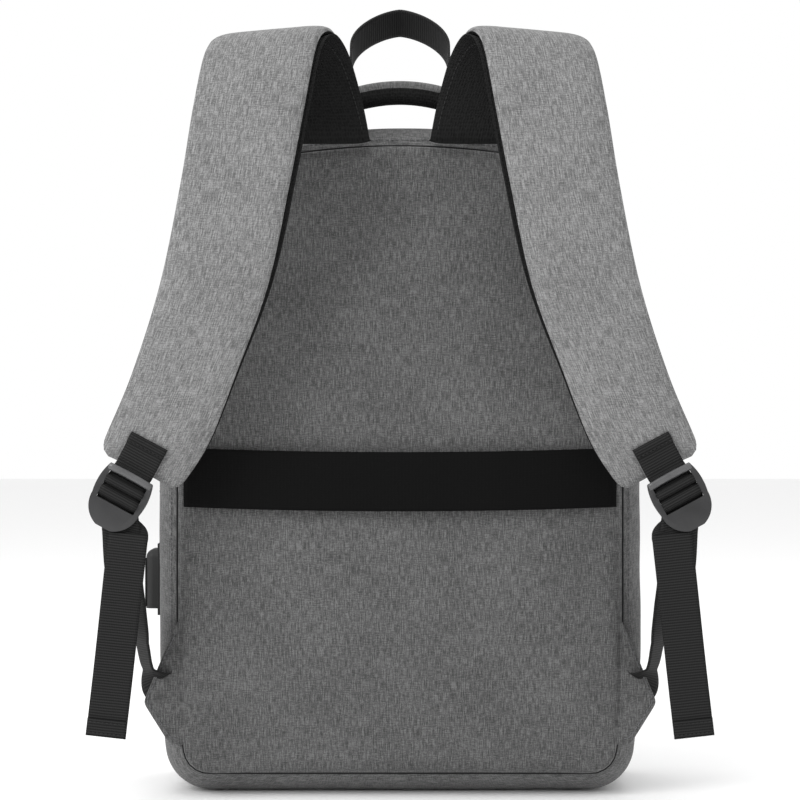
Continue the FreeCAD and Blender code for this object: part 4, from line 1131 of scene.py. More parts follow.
# ---- luggage sleeve
@dataclass
class LuggageBand(Maker):
    """Elastic band across the back panel that slips over a trolley's handle."""

    sag: float = 2.6
    thick: float = 1.3

    def build(self) -> None:
        """Make the band and the stitches at its ends."""
        low, high = corner("luggage_strap")
        half, middle = high[0] + 1.0, (low[2] + high[2]) / 2
        wide = high[2] - low[2]
        near = high[1]
        x = np.linspace(-half, half, 90)
        share = 1 - (x / half) ** 2
        stand = (near - low[1] - self.thick) * np.minimum(1.0, 1.15 * share ** 0.6)
        line = np.stack([x, near - self.thick - stand + 0.2, middle - self.sag * share + 0.8], 1)
        band = ribbon("luggage_band", line, (0, 0, 1), wide, -self.thick, self.finishes.elastic, 15)
        dressed(band, "pack", "elastic_webbing", "luggage_strap")
        rows = []
        for sign in (-1, 1):
            for inward in (3.0, 7.0):
                at = sign * (half - inward)
                y = float(np.interp(at, x, line[:, 1])) - 0.2
                rows.append((np.array([[at, y, middle - wide / 2 + 2.5], [at, y, middle + wide / 2 - 2.5]]),
                             (0, -1, 0)))
        self.sew("luggage_band_stitches", rows, "pack", "elastic_webbing")


# ---- straps
@dataclass
class ShoulderStrap(Maker):
    """One shoulder strap with its mesh, webbing patch, buckle, tail, wing and lower webbing."""

    side: str
    top: float
    back: float
    half_mid: float
    # Centre line from the sewn root over the crest to the tip: (Y from the back, Z from the top).
    line: tuple = ((4.0, -8.5), (-3.2, -6.5), (-5.5, 15.0), (-15.0, 39.5), (-35.0, 50.5), (-55.0, 40.0),
                   (-64.5, 4.0), (-66.0, -45.0), (-59.0, -107.0), (-46.0, -163.0), (-36.5, -205.0),
                   (-33.5, -231.0), (-33.5, -245.0))
    # Inner and outer edge at those points: X from the body's side.
    inner: tuple = (-138.6, -137.0, -131.8, -123.6, -114.5, -106.4, -99.3, -90.0, -76.3, -55.2, -38.0, -21.5,
                    -13.0)
    outer: tuple = (-74.0, -72.4, -65.0, -54.8, -45.0, -37.0, -30.5, -22.7, -9.3, 9.8, 28.5, 38.0, 41.0)
    outer_short: float = 25.0    # the outer edge ends this far before the inner one
    tip_z: float = -236.0
    face: float = 3.9
    rear: float = 3.2
    cap: float = 1.1
    mesh_thick: float = 1.4
    crest_rise: float = 3.2      # the crest stands this much higher at its inner edge
    mesh_out: float = 3.2        # mesh seen beside the inner edge, near the top
    tip_radius: float = 9.0
    rows: int = 150
    cols: int = 26
    web: float = 25.0
    web_thick: float = 1.5
    tail_lean: float = 6.3       # degrees, bottom outwards
    patch_up: float = 25.0
    hem: float = 12.0
    # Route of the laced webbing over and under the buckle's bars: (out of its plane, up).
    lacing: tuple = ((-3.6, 0.8), (-3.2, -2.0), (0.6, -4.0), (2.9, -5.4), (3.0, -7.9), (1.2, -9.6),
                     (-0.4, -10.4), (1.2, -11.2), (2.9, -12.8), (3.0, -15.5), (1.0, -17.6), (-1.6, -19.4),
                     (-2.9, -21.5))
    # Outline of the wing: X from the body's side, Z.
    wing_shape: tuple = ((-28.0, 119.0), (-17.0, 118.0), (-5.0, 91.0), (8.0, 60.0), (-9.0, 33.0),
                         (-28.0, 33.0))
    # Route of the lower webbing out of the wing: X, Y from where it is sewn, Z.
    lower_route: tuple = ((151.5, 0.0, 68.0), (157.5, -0.3, 73.5), (163.0, -3.0, 84.0), (166.0, -8.0, 101.0),
                          (171.5, -15.0, 122.0))

    def __post_init__(self) -> None:
        """Work out the strap's lines."""
        self.k = SIDES[self.side]
        fine = smooth(self.line, 16)
        self.centre = np.stack([fine[:, 0] + self.back, fine[:, 1] + self.top], 1)
        self.along = lengths(self.centre)
        knots = self.along[::16][:len(self.line)]
        edges = smooth(np.stack([knots, np.array(self.inner), np.array(self.outer)], 1), 10)
        self.edge_s = np.maximum.accumulate(edges[:, 0] + np.arange(len(edges)) * 1e-9)
        self.edge_in, self.edge_out = edges[:, 1] + self.half_mid, edges[:, 2] + self.half_mid
        crest = int(np.argmax(self.centre[:, 1]))
        lower = self.centre[crest:]
        self.end_in = float(self.along[crest:][np.argmin(np.abs(lower[:, 1] - self.top - self.tip_z))])
        self.end_out = self.end_in - self.outer_short
        self.bar = joint_point(f"{self.side}_buckle_tilt")
        axis = joint_axis(f"{self.side}_buckle_tilt")
        self.tilt = math.atan2(abs(axis[2]), abs(axis[0]))
        self.pivot = joint_point(f"{self.side}_tail_swing")

    def spot(self, s: Array, offset: Array | float) -> Array:
        """Points (Y, Z) at distances along the centre line, off it towards the face side."""
        y = np.interp(s, self.along, self.centre[:, 0])
        z = np.interp(s, self.along, self.centre[:, 1])
        ahead = np.stack([np.interp(s + 2.0, self.along, self.centre[:, k])
                          - np.interp(s - 2.0, self.along, self.centre[:, k]) for k in (0, 1)], -1)
        ahead /= np.linalg.norm(ahead, axis=-1)[..., None]
        out = np.stack([ahead[..., 1], -ahead[..., 0]], -1)
        grow = np.asarray(offset)[..., None] if np.ndim(offset) else offset
        return np.stack([y, z], -1) + out * grow

    def grid(self, offset: Callable[[Array, Array], Array],
             spread: Optional[Callable[[Array], Array]] = None) -> tuple[Array, Array]:
        """A layer of the strap.

        Args:
            offset: distance from the centre line towards the face, from (share along, share across).
            spread: how far the layer stands out beyond the inner edge, from the share along.
        Returns:
            Points, and their measure along and across the cloth.
        """
        share = np.linspace(0, 1, self.rows)
        across = np.linspace(0, 1, self.cols)
        across = 0.5 - 0.5 * np.cos(across * math.pi) * (1 - 0.15 * np.sin(across * math.pi))
        f, w = np.meshgrid(share, across, indexing="ij")
        end = self.end_in + (self.end_out - self.end_in) * w
        near_end = np.clip((f * end - (end - self.tip_radius)) / self.tip_radius, 0, 1)
        pinch = 0.095 * (1 - np.sqrt(np.clip(1 - near_end ** 2, 0, 1)))
        w_used = 0.5 + (w - 0.5) * (1 - 2 * pinch)
        s = f * (self.end_in + (self.end_out - self.end_in) * w_used)
        more = 0.0 if spread is None else spread(f)
        x_in = np.interp(s, self.edge_s, self.edge_in) - more
        x_out = np.interp(s, self.edge_s, self.edge_out) + (0.0 if spread is None else 0.3)
        x = x_in + (x_out - x_in) * w_used
        flat = self.spot(s, offset(f, w))
        crest = self.along[int(np.argmax(self.centre[:, 1]))]
        rise = self.crest_rise * np.exp(-((s - crest) / 45.0) ** 2) * (0.55 - w_used) * 2
        points = np.stack([x * self.k, flat[..., 0], flat[..., 1] + rise], -1)
        return points, np.stack([(w_used - 0.5) * (x_out - x_in), s], -1)

    def fullness(self, f: Array, w: Array) -> Array:
        """Share of the strap's thickness: round at its edges and tip, thin at its root."""
        edge = np.clip(1 - np.abs(2 * w - 1) ** 7, 0, 1) ** 0.5
        tip = np.clip(1 - np.clip((f - 0.955) / 0.045, 0, 1) ** 2.5, 0, 1) ** 0.5
        root = 0.3 + 0.7 * np.clip(f / 0.05, 0, 1)
        return edge * tip * root

    def build(self) -> None:
        """Make every piece of this side."""
        self.pad()
        self.mesh_back()
        self.patch()
        self.buckle()
        self.tail()
        self.wing()
        self.lower()

    def pad(self) -> None:
        """The padded strap in its face cloth."""
        def front(f: Array, w: Array) -> Array:
            return self.face * self.fullness(f, w) + 0.25

        def rear(f: Array, w: Array) -> Array:
            return -self.rear * self.fullness(f, w) - 0.25

        outer, uv = self.grid(front)
        soft = 0.25 * waves(outer, 70.0, 5)
        outer[..., 1] -= soft * self.k
        inner, _ = self.grid(rear)
        # the face is in the lighter copy of the canvas: painted light
        piece = two_sided(f"{self.side}_strap_pad", outer, inner,
                          [self.finishes.canvas_painted_light, self.finishes.mesh], uv)
        rim = np.vstack([outer[0], outer[-1], outer[:, 0], outer[:, -1]])

        def held(points: Array) -> Array:
            near = np.array([np.min(np.abs(rim - p).sum(1)) for p in points])
            return np.where(near < 1.2, 1.0, 0.0)

        inflate(piece, held, 3.0, self.cap)
        dressed(piece, f"{self.side}_strap", "heather_cloth", f"{self.side}_shoulder_pad")
        rows = []
        for w in (0.045, 0.955):
            share = np.linspace(0.03, 0.965, 160)
            s = share * (self.end_in + (self.end_out - self.end_in) * w)
            x = np.interp(s, self.edge_s, self.edge_in) * (1 - w) + np.interp(s, self.edge_s,
                                                                              self.edge_out) * w
            flat = self.spot(s, np.full(160, -self.rear - self.mesh_thick - 0.35))
            spots = np.stack([x * self.k, flat[:, 0], flat[:, 1]], 1)
            deep = self.spot(s, np.full(160, -self.rear - self.mesh_thick - 2.0))
            out = np.stack([np.zeros(160), deep[:, 0] - flat[:, 0], deep[:, 1] - flat[:, 1]], 1)
            rows.append((spots, out / np.linalg.norm(out, axis=1)[:, None]))
        self.sew(f"{self.side}_strap_edge_stitches", rows, f"{self.side}_strap", "spacer_mesh")

    def mesh_back(self) -> None:
        """Spacer mesh behind the strap, seen as a dark edge from the back."""
        def front(f: Array, w: Array) -> Array:
            return -self.rear * 0.92 + 1.1 * (np.abs(2 * w - 1) ** 8)

        def rear(f: Array, w: Array) -> Array:
            return front(f, w) - self.mesh_thick * (0.35 + 0.65 * np.clip(1 - np.abs(2 * w - 1) ** 8, 0, 1))

        def spread(f: Array) -> Array:
            return self.mesh_out * np.interp(f, [0.0, 0.25, 0.55, 0.8, 1.0], [0.2, 1.0, 1.0, 0.4, 0.1])

        outer, uv = self.grid(front, spread)
        inner, _ = self.grid(rear, spread)
        piece = two_sided(f"{self.side}_strap_mesh", outer, inner, [self.finishes.mesh], uv)
        dressed(piece, f"{self.side}_strap", "spacer_mesh", f"{self.side}_shoulder_mesh")

    def local(self, across: float | Array, out: float | Array, up: float | Array) -> Array:
        """Points in the buckle's own frame: across it, out of its plane along -Y, and up."""
        a, o, u = np.broadcast_arrays(np.asarray(across, float), np.asarray(out, float),
                                      np.asarray(up, float))
        sin, cos = math.sin(self.tilt), math.cos(self.tilt)
        x = a * cos - u * sin
        z = a * sin + u * cos
        return np.stack([self.bar[0] + x * self.k, self.bar[1] - o, self.bar[2] + z], -1)

    def across_way(self) -> Array:
        """Direction across the buckle."""
        return np.array([self.k * math.cos(self.tilt), 0.0, math.sin(self.tilt)])

    def face_y(self, z: Array, offset: float) -> Array:
        """Y of the strap's hanging part at heights, off its centre line."""
        crest = int(np.argmax(self.centre[:, 1]))
        s = self.along[crest:]
        flat = self.spot(s, np.full(len(s), offset))
        return np.interp(-z, -flat[:, 1], flat[:, 0])

    def patch(self) -> None:
        """Webbing sewn on the strap's face and looped round the buckle's bar."""
        rows, cols = 26, 11
        up = np.linspace(self.patch_up + 0.5, 5.0, rows)
        share = np.linspace(-self.web / 2, self.web / 2, cols)
        a, u = np.meshgrid(share, up, indexing="xy")
        flat = self.local(a, 0.0, u)
        flat[..., 1] = self.face_y(flat[..., 2], 5.0) - self.web_thick - 0.15
        dip = smooth([(0.6, 3.6), (-1.4, 1.9), (-2.9, 0.2), (-2.9, -1.6), (-1.2, -3.0)], 5)
        round_bar = np.stack([self.local(share, out, height) for out, height in dip])
        outer = np.vstack([flat, round_bar])
        tangent = np.gradient(outer, axis=0)
        side = self.across_way() * self.k
        normal = np.cross(tangent, side)
        normal /= np.linalg.norm(normal, axis=2)[..., None]
        sign = math.copysign(1.0, float(normal[3, 5, 1]))
        inner = outer + normal * sign * self.web_thick * 0.9
        piece = two_sided(f"{self.side}_strap_patch", outer, inner, [self.finishes.webbing])
        dressed(piece, f"{self.side}_strap", "webbing", f"{self.side}_shoulder_patch")
        fold_up = np.linspace(self.patch_up + 1.2, self.patch_up - 5.5, 6)
        a, u = np.meshgrid(share * 1.01, fold_up, indexing="xy")
        fold = self.local(a, 0.0, u)
        fold[..., 1] = self.face_y(fold[..., 2], 5.0) - self.web_thick - 0.2
        front = fold.copy()
        front[..., 1] -= np.array([0.4, 1.5, 1.9, 1.8, 1.4, 0.3])[:, None]
        hem = two_sided(f"{self.side}_patch_fold", front, fold, [self.finishes.webbing])
        dressed(hem, f"{self.side}_strap", "webbing")
        lines = []
        for up_at in (self.patch_up - 1.0, self.patch_up - 4.6, 8.0):
            spots = self.local(np.linspace(-11, 11, 12), 0.0, np.full(12, up_at))
            spots[:, 1] = self.face_y(spots[:, 2], 5.0) - self.web_thick - (2.0 if up_at > 12 else 0.3)
            lines.append((spots, (0, -1, 0)))
        self.sew(f"{self.side}_patch_stitches", lines, f"{self.side}_strap", "webbing", fine=True)

    def buckle(self) -> None:
        """Ladder-lock buckle with soft edges, and the webbing laced through its bars."""
        node = f"{self.side}_ladder_lock"
        piece = rounded_from_frame(f"{self.side}_buckle_frame", node, self.finishes.acetal, 1.1)
        dressed(piece, f"{self.side}_buckle", "buckle_plastic", node)
        self.top_bar()
        run = smooth(self.lacing, 4)
        laced = self.local(0.0, run[:, 0], run[:, 1])
        hang = self.pivot + np.array([[self.k * 3.0, 3.0, 10.0], [self.k * 0.4, 2.6, 5.0],
                                      [self.k * 0.0, 1.0, 0.5], [self.k * 0.35, 0.6, -3.0]])
        line = smooth(np.vstack([laced[::3], hang]), 5)
        share = np.clip((np.arange(len(line)) / len(line) - 0.72) / 0.28, 0, 1)
        turn = self.tilt * (1 - share) + math.radians(self.tail_lean) * share
        way = np.stack([np.cos(turn) * self.k, np.zeros(len(line)), np.sin(turn)], 1) * self.k
        grids = band_grids(line, way, self.web + 1.1 * (1 - share), 1.1, 9)
        lace = two_sided(f"{self.side}_buckle_lacing", grids[0], grids[1], [self.finishes.webbing])
        dressed(lace, f"{self.side}_buckle", "webbing")

    def top_bar(self) -> None:
        """Flat rounded bar across the buckle's top, in front of the webbing, in a lighter acetal that is a
        painted highlight.
        """
        turn = np.linspace(0, 2 * math.pi, 25)[:-1]
        rows = []
        half = self.web / 2 + 2.6
        for a in np.concatenate([[-half], np.linspace(-half + 0.35, half - 0.35, 11), [half]]):
            shrink = 0.7 if abs(a) >= half else 1.0
            bow = 0.5 * (1 - (a / half) ** 2)
            rows.append(self.local(a, 0.9 + 1.55 * shrink * np.cos(turn), 0.6 + bow + 2.35 * shrink
                                   * np.sin(turn)))
        grid = np.array(rows)
        cols = len(turn)
        quads = net(len(grid), cols, True)
        quads += [tuple(range(cols)), tuple((len(grid) - 1) * cols + j for j in range(cols))]
        mesh = bpy.data.meshes.new("bar")
        mesh.from_pydata((grid.reshape(-1, 3) * MM).tolist(), [], quads)
        # the lighter finish is a painted highlight
        bar = finish_mesh(f"{self.side}_buckle_top_bar", mesh, [self.finishes.painted_highlight_acetal])
        dressed(bar, f"{self.side}_buckle", "buckle_plastic")

    def tail(self) -> None:
        """Free end of the adjusting webbing, with its turned hem."""
        low, high = corner(f"{self.side}_webbing_tail")
        lean = math.radians(self.tail_lean)
        long = (high[2] - low[2]) / math.cos(lean) - 3.0
        s = np.linspace(-0.8, long, 60)
        sway = 1.6 * np.sin(s / long * math.pi * 1.15) - 0.9 * np.sin(s / long * math.pi * 2.2)
        x = self.pivot[0] + self.k * s * math.sin(lean)
        line = np.stack([x, self.pivot[1] - 0.5 + sway * 0.8, self.pivot[2] - s * math.cos(lean)], 1)
        twist = 0.10 * np.sin(s / long * math.pi)
        way = np.stack([np.full(len(s), math.cos(lean)), -twist * self.k,
                        np.full(len(s), math.sin(lean) * self.k)], 1)
        piece = ribbon(f"{self.side}_tail_webbing", line, way, self.web, 1.4, self.finishes.webbing, 11)
        dressed(piece, f"{self.side}_tail", "webbing", f"{self.side}_webbing_tail")
        last = s > long - self.hem
        fold_line = line[last] + np.array([0.0, -1.45, 0.0])
        fold = ribbon(f"{self.side}_tail_hem", fold_line, way[last], self.web, 1.3, self.finishes.webbing,
                      11)
        dressed(fold, f"{self.side}_tail", "webbing")
        lines = []
        for up in (2.2, self.hem - 2.4):
            at = line[np.argmin(np.abs(s - (long - up)))]
            across = way[-1] * np.linspace(-10.5, 10.5, 12)[:, None]
            lines.append((at + across + np.array([0, -3.05 + 1.4, 0]), (0, -1, 0)))
        self.sew(f"{self.side}_hem_stitches", lines, f"{self.side}_tail", "webbing", fine=True)

    def wing(self) -> None:
        """Three-cornered cloth anchor sewn into the back seam."""
        shape = np.array(self.wing_shape)
        low, high = corner(f"{self.side}_anchor_wing")
        closed = np.vstack([shape, shape[:1]])
        middle = shape.mean(axis=0)
        loop = resample(closed, 121)[:-1]
        for _ in range(3):
            loop = (np.roll(loop, 1, 0) + loop * 2 + np.roll(loop, -1, 0)) / 4
        loop = middle + (loop - middle) * 1.01
        loop[:, 0] += self.half_mid
        centre = loop.mean(axis=0)
        rings = []
        for share in np.linspace(0.0, 1.0, 5):
            angle = share * math.pi / 2
            flat = centre + (loop - centre) * (1 - 0.035 * (1 - math.cos(angle)))
            rings.append((flat * (self.k, 1.0), (low[1] + high[1]) / 2 - 1.5 * math.sin(angle)))
        mid_y = (low[1] + high[1]) / 2
        # the wing is in the darker copy of the canvas: painted shade
        piece = cushion_about(f"{self.side}_wing_cloth", rings, [(centre * (self.k, 1.0), mid_y - 1.9)],
                              (centre * (self.k, 1.0), mid_y + 1.4), [self.finishes.canvas_painted_shade])
        dressed(piece, "pack", "heather_cloth", f"{self.side}_anchor_wing")
        edge = centre + (loop - centre) * 0.9
        keep = edge[edge[:, 0] > self.half_mid - 13.0]
        order = np.argsort(-keep[:, 1])
        keep = keep[order]
        spots = np.stack([keep[:, 0] * self.k, np.full(len(keep), mid_y - 1.95), keep[:, 1]], 1)
        self.sew(f"{self.side}_wing_stitches", [(spots, (0, -1, 0))], "pack", "heather_cloth", grey=True)

    def lower(self) -> None:
        """Webbing from behind the wing up to the buckle, in place of the frame's lower webbing."""
        sewn = corner(f"{self.side}_anchor_wing")[1][1] + 0.6
        top_z = self.bar[2] - 24.0
        low_part = [(x, sewn + y, z) for x, y, z in self.lower_route]
        high_part = [(174.5, self.bar[1] + 14.0, 146.0), (175.0, self.bar[1] + 4.8, 173.0),
                     (177.0, self.bar[1] + 4.2, top_z + 7.0)]
        path = smooth(low_part + high_part, 14)
        line = path * (self.k, 1.0, 1.0)
        share = np.linspace(0, 1, len(line))
        lean = np.interp(share, [0.0, 0.09, 0.15, 0.3, 0.45, 1.0], [-1.0, -0.9, -0.5, -0.18, 0.0, 0.25])
        turn = np.interp(share, [0.0, 0.09, 0.15, 0.26, 0.42, 0.7, 1.0],
                         [0.0, 0.0, 0.5, 1.2, 1.15, 0.3, 0.0])
        way = np.stack([np.cos(lean) * np.cos(turn), np.sin(turn) * self.k,
                        np.sin(lean) * np.cos(turn) * self.k], 1)
        piece = ribbon(f"{self.side}_lower_strap", line, way, self.web, 1.4, self.finishes.webbing, 11)
        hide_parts(f"{self.side}_lower_webbing")
        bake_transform(piece)


def cushion_about(name: str, rings: Sequence[tuple[Array, float]], front: Sequence[tuple[Array, float]],
                  back: tuple[Array, float], materials: Sequence[Material]) -> Object:
    """A closed padded plate whose rows shrink onto one point in front and one behind.

    Args:
        name: the piece's name.
        rings: outlines from the rim forward, as ((n, 2) points, Y).
        front: the front's middle.
        back: the back's middle.
        materials: its finishes.
    """
    count = len(rings[0][0])
    rows = [at_depth(f, y) for f, y in rings]
    last, y_last = rings[-1]
    tip, y_tip = front[0]
    for q in (0.35, 0.7, 0.93):
        flat = last + (tip - last) * q
        rows.append(at_depth(flat, y_last + (y_tip - y_last) * q))
    rim = np.stack([rings[0][0][:, 0], np.full(count, back[1]), rings[0][0][:, 1]], 1)
    rows.insert(0, rim)
    deep = rim + (np.array([back[0][0], back[1], back[0][1]]) - rim) * 0.5
    rows.insert(0, deep)
    grid = np.array(rows)
    quads = net(len(rows), count, True)
    points = grid.reshape(-1, 3).tolist()
    points += [[back[0][0], back[1], back[0][1]], [tip[0], y_tip, tip[1]]]
    end, start = len(points) - 1, len(points) - 2
    top = (len(rows) - 1) * count
    quads += [(start, (j + 1) % count, j) for j in range(count)]
    quads += [(end, top + j, top + (j + 1) % count) for j in range(count)]
    mesh = bpy.data.meshes.new(name)
    mesh.from_pydata((np.array(points) * MM).tolist(), [], quads)
    set_measure(mesh, np.array(points)[:, [0, 2]] * MM)
    return finish_mesh(name, mesh, materials)


# ---- handles
@dataclass
class Handles(Maker):
    """Padded carry handle and hanging loop, with their sewn patches."""

    outline: Outline
    handle_half: float = 56.0
    handle_leg: float = 3.0
    grip_half: float = 43.0
    grip_deep: float = 17.0
    grip_wide: float = 21.0
    loop_half: float = 34.0
    loop_leg: float = 59.0
    lean: float = 36.0
    web: float = 25.0
    foot: float = 9.0

    def top_at(self, x: float) -> float:
        """Height of the body's top at an X."""
        right = self.outline.half(0.0)
        upper = right[right[:, 1] > self.outline.height * 0.8]
        return float(np.interp(abs(x), upper[::-1, 0], upper[::-1, 1]))

    def build(self) -> None:
        """Make both handles."""
        self.carry_handle()
        self.hanging_loop()
        self.patches("handle_anchors", self.handle_half, corner("handle_anchor_patches"),
                     "handle_anchor_patches")
        self.patches("loop_anchors", self.loop_half, corner("hook_loop_anchor_patches"),
                     "hook_loop_anchor_patches")

    def handle_line(self, count: int, half: float) -> Array:
        """Centre line of the carry handle between -half and half, from the frame's pivot."""
        pivot = joint_point("carry_handle_swing")
        high = corner("handle_webbing")[1][2] - 0.75
        rise = high - pivot[2] - self.handle_leg
        radius = (self.handle_half ** 2 + rise ** 2) / (2 * rise)
        x = np.linspace(-half, half, count)
        z = high - radius + np.sqrt(radius ** 2 - x ** 2)
        return np.stack([x, np.full(count, pivot[1]), z], 1)

    def carry_handle(self) -> None:
        """Webbing core and padded grip: face cloth over the top, black mesh beneath."""
        pivot = joint_point("carry_handle_swing")
        arch = self.handle_line(60, self.handle_half - 1.0)
        foot_z = self.top_at(self.handle_half) + 1.4
        left = np.array([[-self.handle_half - 4.0, pivot[1], foot_z - 0.3],
                         [-self.handle_half - 0.5, pivot[1], foot_z + 1.2],
                         [-self.handle_half, pivot[1], pivot[2]]])
        line = smooth(np.vstack([left, arch[3:-3:4], (left * (-1.0, 1.0, 1.0))[::-1]]), 6)
        reach = np.abs(line[:, 0]) / self.handle_half
        wide = np.interp(reach, [0.0, 0.72, 0.98, 1.1], [19.0, 19.0, self.foot + 3.0, self.foot + 4.0])
        core = ribbon("handle_core_webbing", line, (0, 1, 0), wide, 1.5, self.finishes.webbing, 9)
        dressed(core, "carry_handle", "webbing", "handle_webbing")
        path = self.handle_line(72, self.grip_half)
        tangent = normalised(np.gradient(path, axis=0))
        up = np.stack([-tangent[:, 2], np.zeros(72), tangent[:, 0]], 1)
        depth = np.array([0.0, 1.0, 0.0])
        turn = np.linspace(0, 2 * math.pi, 33)[:-1]
        share = np.abs(np.linspace(-1, 1, 72))
        full = np.clip(1 - share ** 9, 0.0, 1.0) ** 0.5 * 0.86 + 0.14
        round_c = np.sign(np.cos(turn)) * np.abs(np.cos(turn)) ** 0.8
        round_s = np.sign(np.sin(turn)) * np.abs(np.sin(turn)) ** 0.8
        grid = (path[:, None, :] + depth * (round_c * (self.grip_wide / 2 - 0.8))[None, :, None]
                * (0.5 + 0.5 * full)[:, None, None] + up[:, None, :]
                * (round_s * (self.grip_deep / 2 - 0.8))[None, :, None] * full[:, None, None])
        rows, cols = grid.shape[:2]
        quads = net(rows, cols, True)
        slots = [0 if 0.3 < math.sin(turn[j] + 0.05) else 1 for j in range(cols)] * (rows - 1)
        quads += [tuple(range(cols)), tuple((rows - 1) * cols + j for j in range(cols))]
        slots += [1, 1]
        mesh = bpy.data.meshes.new("handle_grip_padding")
        mesh.from_pydata((grid.reshape(-1, 3) * MM).tolist(), [], quads)
        along = lengths(path)
        uv = np.stack([np.broadcast_to(turn * 8.0, (rows, cols)),
                       np.broadcast_to(along[:, None], (rows, cols))], 2)
        set_measure(mesh, uv.reshape(-1, 2)[:, ::-1] * MM)
        mesh.polygons.foreach_set("material_index", np.array(slots, np.int32))
        # the grip's cloth is the darker copy of the canvas: painted shade
        grip = finish_mesh("handle_grip_padding", mesh, [self.finishes.canvas_painted_shade, self.finishes.mesh])

        def held(points: Array) -> Array:
            return np.where(np.abs(points[:, 0]) > self.grip_half - 3.0, 1.0, 0.0)

        inflate(grip, held, 2.0, 0.7)
        dressed(grip, "carry_handle", "heather_cloth", "handle_grip")

    def hanging_loop(self) -> None:
        """Webbing loop behind the handle, gathered where it is sewn down."""
        pivot = joint_point("hanging_loop_swing")
        lean = math.radians(self.lean)
        turn = np.linspace(math.pi, 0, 25)
        pointed = np.sign(np.cos(turn)) * np.abs(np.cos(turn)) ** 1.34
        arch = np.stack([self.loop_half * pointed, self.loop_leg + self.loop_half * np.sin(turn)], 1)
        leg = np.linspace(0, self.loop_leg, 12)[:-1]
        left = np.stack([np.full(11, -self.loop_half), leg], 1)
        flat = np.vstack([left, arch, (left * (-1.0, 1.0))[::-1]])
        line = np.stack([flat[:, 0], pivot[1] + flat[:, 1] * math.sin(lean),
                         pivot[2] + flat[:, 1] * math.cos(lean)], 1)
        foot_z = self.top_at(self.loop_half) + 1.5
        root = np.array([[-self.loop_half - 5.0, pivot[1], foot_z - 0.2],
                         [-self.loop_half - 1.0, pivot[1], foot_z + 1.2]])
        line = smooth(np.vstack([root, line, (root * (-1.0, 1.0, 1.0))[::-1]]), 4)
        high = np.maximum(line[:, 2] - pivot[2], 0.0) / math.cos(lean)
        wide = np.interp(high, [0.0, 16.0, 40.0], [self.foot + 1.0, self.web - 3.0, self.web])
        way = (0.0, math.cos(lean), -math.sin(lean))
        loop = ribbon("hanging_loop_webbing", line, way, wide, 1.5, self.finishes.webbing, 11)
        dressed(loop, "hanging_loop", "webbing", "hook_loop")

    def patches(self, name: str, half: float, box: tuple[Array, Array], node: str) -> None:
        """Webbing patches on the top that hold a handle's ends, with boxed stitches."""
        low, high = box
        lines, grids = [], []
        for k in (-1, 1):
            x = np.linspace(half - 2.0, high[0] - 0.3, 10)
            y = np.linspace(low[1] + 0.3, high[1] - 0.3, 9)
            gx, gy = np.meshgrid(x, y, indexing="ij")
            z = np.array([self.top_at(v) for v in x])[:, None] + np.zeros_like(gy)
            grids.append((np.stack([gx * k, gy, z + 1.9], 2), np.stack([gx * k, gy, z + 0.2], 2)))
            box_line = np.array([[x[1], y[1]], [x[-2], y[1]], [x[-2], y[-2]], [x[1], y[-2]], [x[1], y[1]],
                                 [x[-2], y[-2]]])
            spots = resample(box_line, 60)
            zs = np.array([self.top_at(v) for v in spots[:, 0]]) + 2.1
            lines.append((np.stack([spots[:, 0] * k, spots[:, 1], zs], 1), (0, 0, 1)))
        parts = [two_sided(f"{name}_{'left' if i == 0 else 'right'}", a, b, [self.finishes.webbing])
                 for i, (a, b) in enumerate(grids)]
        dressed(parts[0], "pack", "webbing", node)
        dressed(parts[1], "pack", "webbing")
        self.sew(f"{name}_stitches", lines, "pack", "webbing", fine=True)


# ---- zips
@dataclass
class Zips(Maker):
    """Coils of the main zip and the front pocket's zip."""

    outline: Outline
    coil_pitch: float = 1.6

    def build(self) -> None:
        """Make every coil and dress the sliders."""
        rear_low, rear_high = corner("rear_gusset")
        lid_low, lid_high = corner("lid_gusset")
        middle = (rear_high[1] + lid_low[1]) / 2
        fold = rear_low[2] + (lid_low[2] - rear_low[2]) / 2
        front = lid_high[1] - 2.0
        for body, sign, node in (("pack", -1, "rear_zip_coil"), ("lid", 1, "lid_zip_coil")):
            y = middle + sign * COIL_OFFSET
            z = fold + sign * COIL_OFFSET
            flat = self.outline.above(2.2, z, 300)
            side = outward(flat)
            lines = [(at_depth(flat, y), side)]
            for k in (-1, 1):
                x = k * (self.outline.width_at(z) - 2.2)
                run = np.stack([np.full(20, x), np.linspace(y, front, 20), np.full(20, z)], 1)
                lines.append((run, (k, 0, 0)))
            coil = self.repeater.run(f"{body}_zip_coils", lines, self.coil_pitch, COIL_TURN,
                                     self.finishes.coil, COIL_TILT)
            dressed(coil, body, "zip_coil", node)
        low, high = corner("pocket_zip_coil")
        lines = []
        for sign in (-1, 1):
            z = (low[2] + high[2]) / 2 + sign * COIL_OFFSET
            lines.append((np.array([[low[0], (low[1] + high[1]) / 2, z],
                                    [high[0], (low[1] + high[1]) / 2, z]]), (0, 1, 0)))
        coil = self.repeater.run("pocket_zip_coils", lines, self.coil_pitch, COIL_TURN, self.finishes.coil,
                                 COIL_TILT)
        dressed(coil, "lid", "zip_coil", "pocket_zip_coil")
        for name in ("lower", "upper", "pocket"):
            for part in ("slider", "puller"):
                node = f"{name}_zip_{part}"
                piece = rounded_from_frame(f"{name}_{part}_cast", node, self.finishes.enamel, 0.22)
                dressed(piece, f"{name}_{part}", "zip_metal", node)


